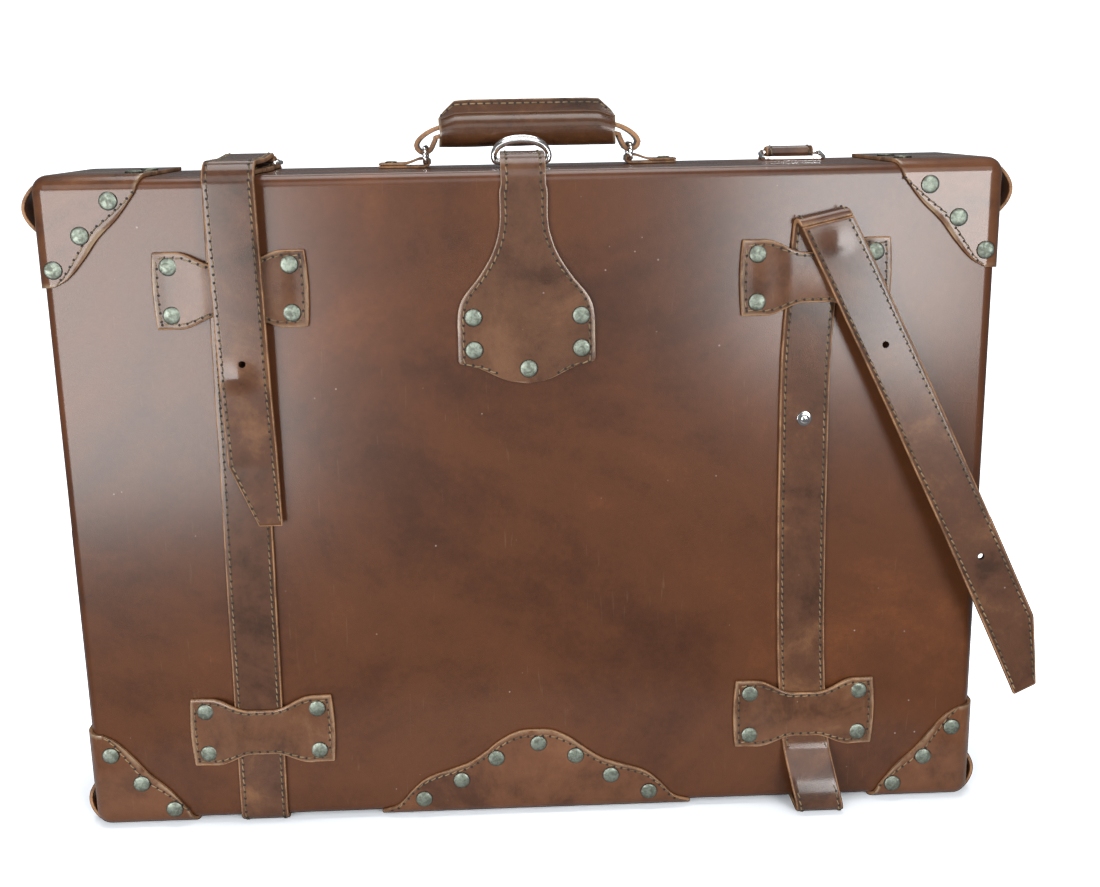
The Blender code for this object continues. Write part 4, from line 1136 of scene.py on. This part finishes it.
# The rings. Bent chrome-plated steel wire: a rectangular one for each strap at the back of the top, a pair
# of D-rings that the lid's tab goes through, and a small twisted one at each end of the handle.
plate, tree, shader = blank_material("chrome_plate")
where = node(tree, "TexCoord").outputs["Object"]
film = cloudy(tree, where, 140.0, 5.0, 0.6, 0.6)
specks = cloudy(tree, where, 1500.0, 3.0)
tint = mix(tree, span(tree, film, 0.35, 0.7), (0.95, 0.95, 0.94, 1), (0.78, 0.78, 0.77, 1))
tint = mix(tree, calc(tree, "MULTIPLY", span(tree, specks, 0.6, 0.75), 0.35), tint, (0.2, 0.19, 0.17, 1))
tree.links.new(tint, shader.inputs["Base Color"])
tree.links.new(span(tree, film, 0.3, 0.7, 0.08, 0.2), shader.inputs["Roughness"])
bump = node(tree, "Bump", {"Height": specks, "Strength": 0.12, "Distance": 0.05 * MM})
tree.links.new(bump.outputs[0], shader.inputs["Normal"])
shader.inputs["Metallic"].default_value = 1.0


def outline_arc(centre_u, centre_v, radius, start, end):
    angles = [math.radians(start + (end - start) * i / 8) for i in range(9)]
    return [(centre_u + radius * math.cos(a), centre_v + radius * math.sin(a)) for a in angles]


def boxed(half, reach, corner):
    """A rectangle with round corners, from its hinged bar at v = 0 to its free bar at v = reach."""
    points = outline_arc(half - corner, reach - corner, corner, 0, 90)
    points += outline_arc(-half + corner, reach - corner, corner, 90, 180)
    points += outline_arc(-half + corner, corner, corner, 180, 270)
    return points + outline_arc(half - corner, corner, corner, 270, 360)


def wire(name, outline, origin, u_axis, v_axis, radius, rows=140, sides=14, lobes=0.0, turns=0):
    """A closed ring of wire along an outline in the plane of two axes."""
    points = [origin + u * u_axis + v * v_axis for u, v in outline]
    points.append(points[0])
    flat = u_axis.cross(v_axis).normalized()

    def place(s, t):
        here = along(points, t % 1.0)
        run = (along(points, (t + 0.004) % 1.0) - along(points, (t - 0.004) % 1.0)).normalized()
        angle = 2 * math.pi * s
        thick = radius * (1 - lobes * (0.5 + 0.5 * math.cos(2 * angle + 2 * math.pi * turns * t)))
        return here + thick * (math.cos(angle) * flat + math.sin(angle) * run.cross(flat))

    made = formed(name, sides, rows, place, (plate,), closed=True)
    smooth(made, 60)
    return made


RIGHT = Vector((1, 0, 0))
drop = math.asin((STRAP + 0.2 * MM) / (16.5 * MM))
for hand, x, tilt in (("left", left_strap_x(HEIGHT), 0.0), ("right", KEEPER_X["right"], drop)):
    pivot = Vector((x, RING_BACK_Y, RING_BAR_Z))
    forward = Vector((0, -math.cos(tilt), -math.sin(tilt)))
    ring = wire(hand + "_belt_ring", boxed(21 * MM, 18 * MM, 3 * MM), pivot, RIGHT, forward, RING_WIRE)
    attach(ring, hand + "_ring")
    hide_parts(hand + "_strap_ring")

TAB_WIRE = 2.1 * MM
CHAPE_WALL = 1.2 * MM
TAB_BAR_Z = HEIGHT + GAP + CHAPE_WALL + GAP + TAB_WIRE
D_HALF = 18.4 * MM
for place_name, y, tall in (("front", -16 * MM, 13.6 * MM), ("back", -10 * MM, 15.4 * MM)):
    shoulder = 3 * MM
    outline = [(-D_HALF + 2.5 * MM, 0), (0, 0), (D_HALF - 2.5 * MM, 0), (D_HALF - 0.7 * MM, 0.7 * MM)]
    for i in range(41):
        a = math.pi * i / 40
        u = D_HALF * math.copysign(abs(math.cos(a)) ** 0.9, math.cos(a))
        outline.append((u, shoulder + (tall - shoulder) * math.sin(a) ** 0.9))
    outline.append((-D_HALF + 0.7 * MM, 0.7 * MM))
    bar = Vector((0, y, TAB_BAR_Z))
    ring = wire("d_ring_" + place_name, outline, bar, RIGHT, Vector((0, 0, 1)), TAB_WIRE)
    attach(ring, "tab_ring_" + place_name)
    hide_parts("tab_ring_" + place_name)


# The chape of the D-rings. A strip of thin plated steel goes round both bars and is riveted down behind
# them, under the tongue of the tab.
steel, tree, shader = blank_material("rolled_steel")
where = node(tree, "TexCoord").outputs["Object"]
rolled = cloudy(tree, node(tree, "Mapping", {"Vector": where, "Scale": (1, 25, 25)}).outputs[0], 60.0, 4.0)
rust = cloudy(tree, where, 90.0, 6.0, 0.7)
tint = mix(tree, span(tree, rolled, 0.35, 0.65), (0.36, 0.35, 0.33, 1), (0.58, 0.57, 0.55, 1))
tint = mix(tree, calc(tree, "MULTIPLY", span(tree, rust, 0.58, 0.7), 0.5), tint, (0.16, 0.09, 0.05, 1))
tree.links.new(tint, shader.inputs["Base Color"])
tree.links.new(span(tree, rolled, 0.3, 0.7, 0.32, 0.5), shader.inputs["Roughness"])
bump = node(tree, "Bump", {"Height": rolled, "Strength": 0.3, "Distance": 0.1 * MM})
tree.links.new(bump.outputs[0], shader.inputs["Normal"])
shader.inputs["Metallic"].default_value = 1.0

low = HEIGHT + GAP + CHAPE_WALL / 2
high = TAB_BAR_Z + (TAB_BAR_Z - low)
closed = low + CHAPE_WALL + GAP
way = [(12 * MM, low), (0, low)] + bend(-16 * MM, TAB_BAR_Z, TAB_BAR_Z - low, 270, 90)
way += [(-8.5 * MM, high), (-5.5 * MM, high - 2.2 * MM), (0, closed), (12 * MM, closed)]
half = Vector((12 * MM, 0, 0))
stations = [(Vector((0, y, z)) - half, Vector((0, y, z)) + half) for y, z in way]
place = strip_place(stations)
chape = formed("d_ring_chape", 6, 50, place, (steel,))
finish_with(chape, "SOLIDIFY", thickness=CHAPE_WALL, offset=0, use_even_offset=True)
smooth(chape)
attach(chape, "base")
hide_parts("ring_chape")
for name in ("hinge_leaf_lid", "hinge_leaf_base", "hinge_pin"):
    refinish(name, steel)


# The tab. A bottle-shaped flap of harness leather is riveted to the lid, and its neck curves back over the
# top edge and through the pair of D-rings.
TAB_WALL = 3 * MM
TAB_SIDES = [
    (0, 310), (9, 311), (17, 313.5), (25, 317.6), (33, 321.5), (40, 323), (44, 323.6), (45, 326),
    (44.9, 340), (44.5, 356), (41, 367), (30, 381), (20.5, 397), (15.8, 414), (15.5, 434),
]
TONGUE_HALF = 14.5 * MM
TONGUE_RADIUS = 459.1 * MM
HINGE_Z = -1.7 * MM
TAB_RIVETS = {"upper_left": (-34.5, 354.5), "lower_left": (-34.5, 333), "upper_right": (36, 354.5),
              "lower_right": (36, 333), "bottom": (1, 320)}

tab_hide = leather(
    "tab_hide", (0.065, 0.026, 0.013), (0.125, 0.054, 0.027), (0.18, 0.084, 0.042), 0.36,
    clouds=15.0, shift=7.7, rub=(0.03, 0.01),
)
tab_y = FRONT - GAP - TAB_WALL / 2
edge = [Vector((x * MM, tab_y, z * MM)) for x, z in TAB_SIDES]
neck = [(tab_y, 439), (-60.6 * MM, 446.5), (-57 * MM, 452.4), (-51.5 * MM, 455.7)]
edge += [Vector((TONGUE_HALF, y, z * MM)) for y, z in neck]
for i in range(10):
    y = -46 * MM + 46.5 * MM * i / 9
    edge.append(Vector((TONGUE_HALF, y, HINGE_Z + math.sqrt(TONGUE_RADIUS**2 - (y - SPLIT) ** 2))))
edge = edge[:9] + curve_through(edge[8:], 120)[1:]
place = strip_place([(Vector((-p.x, p.y, p.z)), p.copy()) for p in edge])
tab = formed("lid_tab", 24, 130, place, (tab_hide, trim_edge))
thicken(tab, TAB_WALL, offset=0.0)


def tab_line(way_x):
    """A seam 3.5 mm inside one side of the tab, from near its lowest point up and along its neck."""
    def line(q):
        t = 0.035 + 0.945 * q
        wide = abs(place(1, t).x)
        return 0.5 + way_x * 0.5 * max(1 - 3.6 * MM / max(wide, 4 * MM), 0), t
    return line


sewn = [spot for way_x in (-1, 1) for spot in seam(place, tab_line(way_x), TAB_WALL / 2)]
merge(tab, copies("tab_seam", stitch_mesh, sewn))
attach(tab, "lid")
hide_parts("front_tab")
for name, (x, z) in TAB_RIVETS.items():
    head = [standing_on(x * MM, FRONT - GAP - TAB_WALL - RIVET_SUNK, z * MM, -1)]
    rivets("tab_head_" + name, head, "lid", "tab_rivet_" + name)


# The studs. A strap's hole buttons over a turned nickel stud that is screwed into the lid.
STUD_RADIUS = 4.8 * MM
STUD_FOOT = 1.1 * MM
STUD_TURNING = [
    (0.3, 0.1), (2.2, 0.2), (0.05, 0.7), (-0.7, 0.3), (-0.35, 0.45), (0.5, 0.6), (0.9, 0.35), (0.8, 0.1),
]


def stud(name, x, z, surface, node_name):
    only_none()
    bpy.ops.mesh.primitive_cylinder_add(
        vertices=28, radius=STUD_RADIUS, depth=STUD_FOOT, location=(0, 0, STUD_FOOT / 2)
    )
    made = bpy.context.object
    made.name = name
    bpy.ops.object.transform_apply()
    bpy.ops.object.mode_set(mode="EDIT")
    pick(made, "faces", lambda f: f.normal.z > 0.9)
    for inwards, rise in STUD_TURNING:
        bpy.ops.mesh.inset(thickness=abs(inwards) * MM, depth=rise * MM, use_outset=inwards < 0)
    bpy.ops.object.mode_set(mode="OBJECT")
    made.data.materials.append(surface)
    smooth(made, 40)
    standing = Matrix.Rotation(math.radians(90), 4, "X")
    made.data.transform(Matrix.Translation((x, FRONT - GAP - STRAP - GAP, z)) @ standing)
    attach(made, "lid")
    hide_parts(node_name)


stud("left_button", -188.5 * MM, 321 * MM, nickel, "left_stud")
stud("right_button", 184.3 * MM, 281.5 * MM, plate, "right_stud")


# The handle. An endless strap runs inside a tube of harness leather, whose two edges meet in a sewn fin along
# the top. The strap's ends loop round two twisted rings, which leather chapes hold to the base.
HANDLE_X = 5 * MM
HANDLE_Y = 14 * MM
RING_X = 70 * MM
HANDLE_BAR_Z = HEIGHT + GAP + 1.6 * MM + GAP + 1.6 * MM

grip_hide = leather(
    "grip_hide", (0.03, 0.011, 0.005), (0.085, 0.032, 0.012), (0.15, 0.064, 0.026), 0.32,
    clouds=18.0, shift=9.1, rub=(0.02, 0.02),
)
GRIP_ROWS = [(0, 12.5, 11.5, 472.8, 493), (40, 12.5, 11.5, 472.8, 493), (49.7, 12.3, 11.3, 472.6, 492.4),
             (55.5, 11.9, 10.0, 471.4, 485.8), (59.4, 11.5, 9.0, 470.5, 480.6)]


def grip_place(s, t):
    """s goes from one edge of the fin down round the tube and up to the other edge, t along the handle."""
    x = (2 * t - 1) * 59.4
    rows = GRIP_ROWS
    for one, two in zip(rows, rows[1:]):
        if one[0] <= abs(x) <= two[0] + 1e-6:
            u = (abs(x) - one[0]) / (two[0] - one[0])
            across_y, tall, middle, fin = [a + (b - a) * u for a, b in zip(one[1:], two[1:])]
    slant = 0.13 * eased(abs(x), 50, 59.4)
    gap_top = 0.25
    if s < 0.14:
        u = s / 0.14
        y = -gap_top - 1.5 - 0.6 * u * u
        z = fin + (middle + tall * 0.97 - fin) * u
    elif s > 0.86:
        u = (1 - s) / 0.14
        y = gap_top + 1.5 + 0.6 * u * u
        z = fin + (middle + tall * 0.97 - fin) * u
    else:
        angle = math.radians(102 + 336 * (s - 0.14) / 0.72)
        y = across_y * math.cos(angle)
        z = middle + tall * math.sin(angle)
    along_x = x + math.copysign(slant * (z - middle), x)
    dent = 0.35 * noise.noise(Vector((x * 0.06, y * 0.1, z * 0.1)))
    if 0.2 < s < 0.8:
        z += dent
    return Vector((HANDLE_X + along_x * MM, HANDLE_Y + (y + dent * 0.3) * MM, z * MM))


grip = formed("handle_tube", 72, 70, grip_place, (grip_hide, trim_edge))
middle_of_grip = Vector((HANDLE_X, HANDLE_Y, 472.8 * MM))
outward = sum(f.normal.dot(f.center - middle_of_grip) * f.area for f in grip.data.polygons)
if outward < 0:
    only(grip)
    bpy.ops.object.mode_set(mode="EDIT")
    bpy.ops.mesh.select_all(action="SELECT")
    bpy.ops.mesh.flip_normals()
    bpy.ops.object.mode_set(mode="OBJECT")
thicken(grip, 1.4 * MM)
sewn = []
for face_y, s in ((-1, 0.045), (1, 0.955)):
    walked = [grip_place(s, 0.02 + 0.96 * i / 150) for i in range(151)]
    count = int(sum((b - a).length for a, b in zip(walked, walked[1:])) / STITCH_PITCH)
    for i in range(count):
        share = (i + 0.5) / count
        run = (along(walked, share + 0.005) - along(walked, share - 0.005)).normalized()
        out = Vector((0, face_y, 0))
        basis = Matrix((run, out.cross(run), out)).transposed().to_4x4()
        sewn.append(Matrix.Translation(along(walked, share)) @ basis)
merge(grip, copies("fin_seam", stitch_mesh, sewn))
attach(grip, "handle")
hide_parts("handle_grip")

CORE_WAY = [
    (0, 475), (30, 475), (55, 475), (61.5, 474.3), (68, 471.5), (73.5, 467.5), (76, 463.3), (74.4, 459.6),
    (70, 457.8), (66.8, 459.4), (64.8, 463), (63.0, 466.6), (60.2, 468.8), (30, 468.8), (0, 468.8),
]
for hand, way_x in (("left", -1), ("right", 1)):
    turned = curve_through([Vector((u * MM, 0, z * MM)) for u, z in CORE_WAY], 90)
    half = 9 * MM
    stations = []
    for spot in turned:
        wide = half * (1 + 0.15 * eased(spot.x, 60 * MM, 72 * MM))
        x = HANDLE_X + way_x * spot.x
        reach = Vector((0, way_x * wide, 0))
        spot = Vector((x, HANDLE_Y, spot.z))
        stations.append((spot - reach, spot + reach))
    core = belt("handle_strap_" + hand, strip_place(stations), thickness=3.0 * MM, width=18 * MM, sewn=False)
    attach(core, "handle")
    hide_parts("handle_core")

    pivot = Vector((HANDLE_X + way_x * RING_X, HANDLE_Y, HANDLE_BAR_Z))
    ring = wire(
        "handle_link_" + hand, boxed(13 * MM, 9.5 * MM, 2.5 * MM), pivot,
        Vector((0, 1, 0)), Vector((0, 0, 1)), 1.75 * MM, rows=220, sides=16, lobes=0.28, turns=12,
    )
    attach(ring, "handle_ring_" + hand)
    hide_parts("handle_ring_" + hand)

    wall = 1.6 * MM
    low = HEIGHT + GAP + wall / 2
    turn = HANDLE_BAR_Z - low
    closed = low + wall + GAP
    way = [(32 * MM, low), (12 * MM, low)]
    way += [(u, z) for u, z in bend(0, HANDLE_BAR_Z, turn, 270, 90)]
    way += [(5 * MM, HANDLE_BAR_Z + turn - 0.4 * MM), (11 * MM, closed + 0.8 * MM)]
    way += [(15 * MM, closed), (32 * MM, closed)]
    half = Vector((0, 9 * MM, 0))
    middles = [Vector((pivot.x + way_x * u, HANDLE_Y, z)) for u, z in way]
    stations = [(spot - half, spot + half) for spot in middles]
    chape = belt("handle_tag_" + hand, strip_place(stations), thickness=wall, width=18 * MM, sewn=False)
    head = Matrix.Translation((pivot.x + way_x * 24 * MM, HANDLE_Y, closed + wall / 2 - 0.1 * MM))
    heads = copies("handle_tag_rivet_" + hand, rivet_mesh, [head @ Matrix.Scale(0.72, 4)])
    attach(heads, "base")
    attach(chape, "base")
    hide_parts("handle_chape_" + hand)
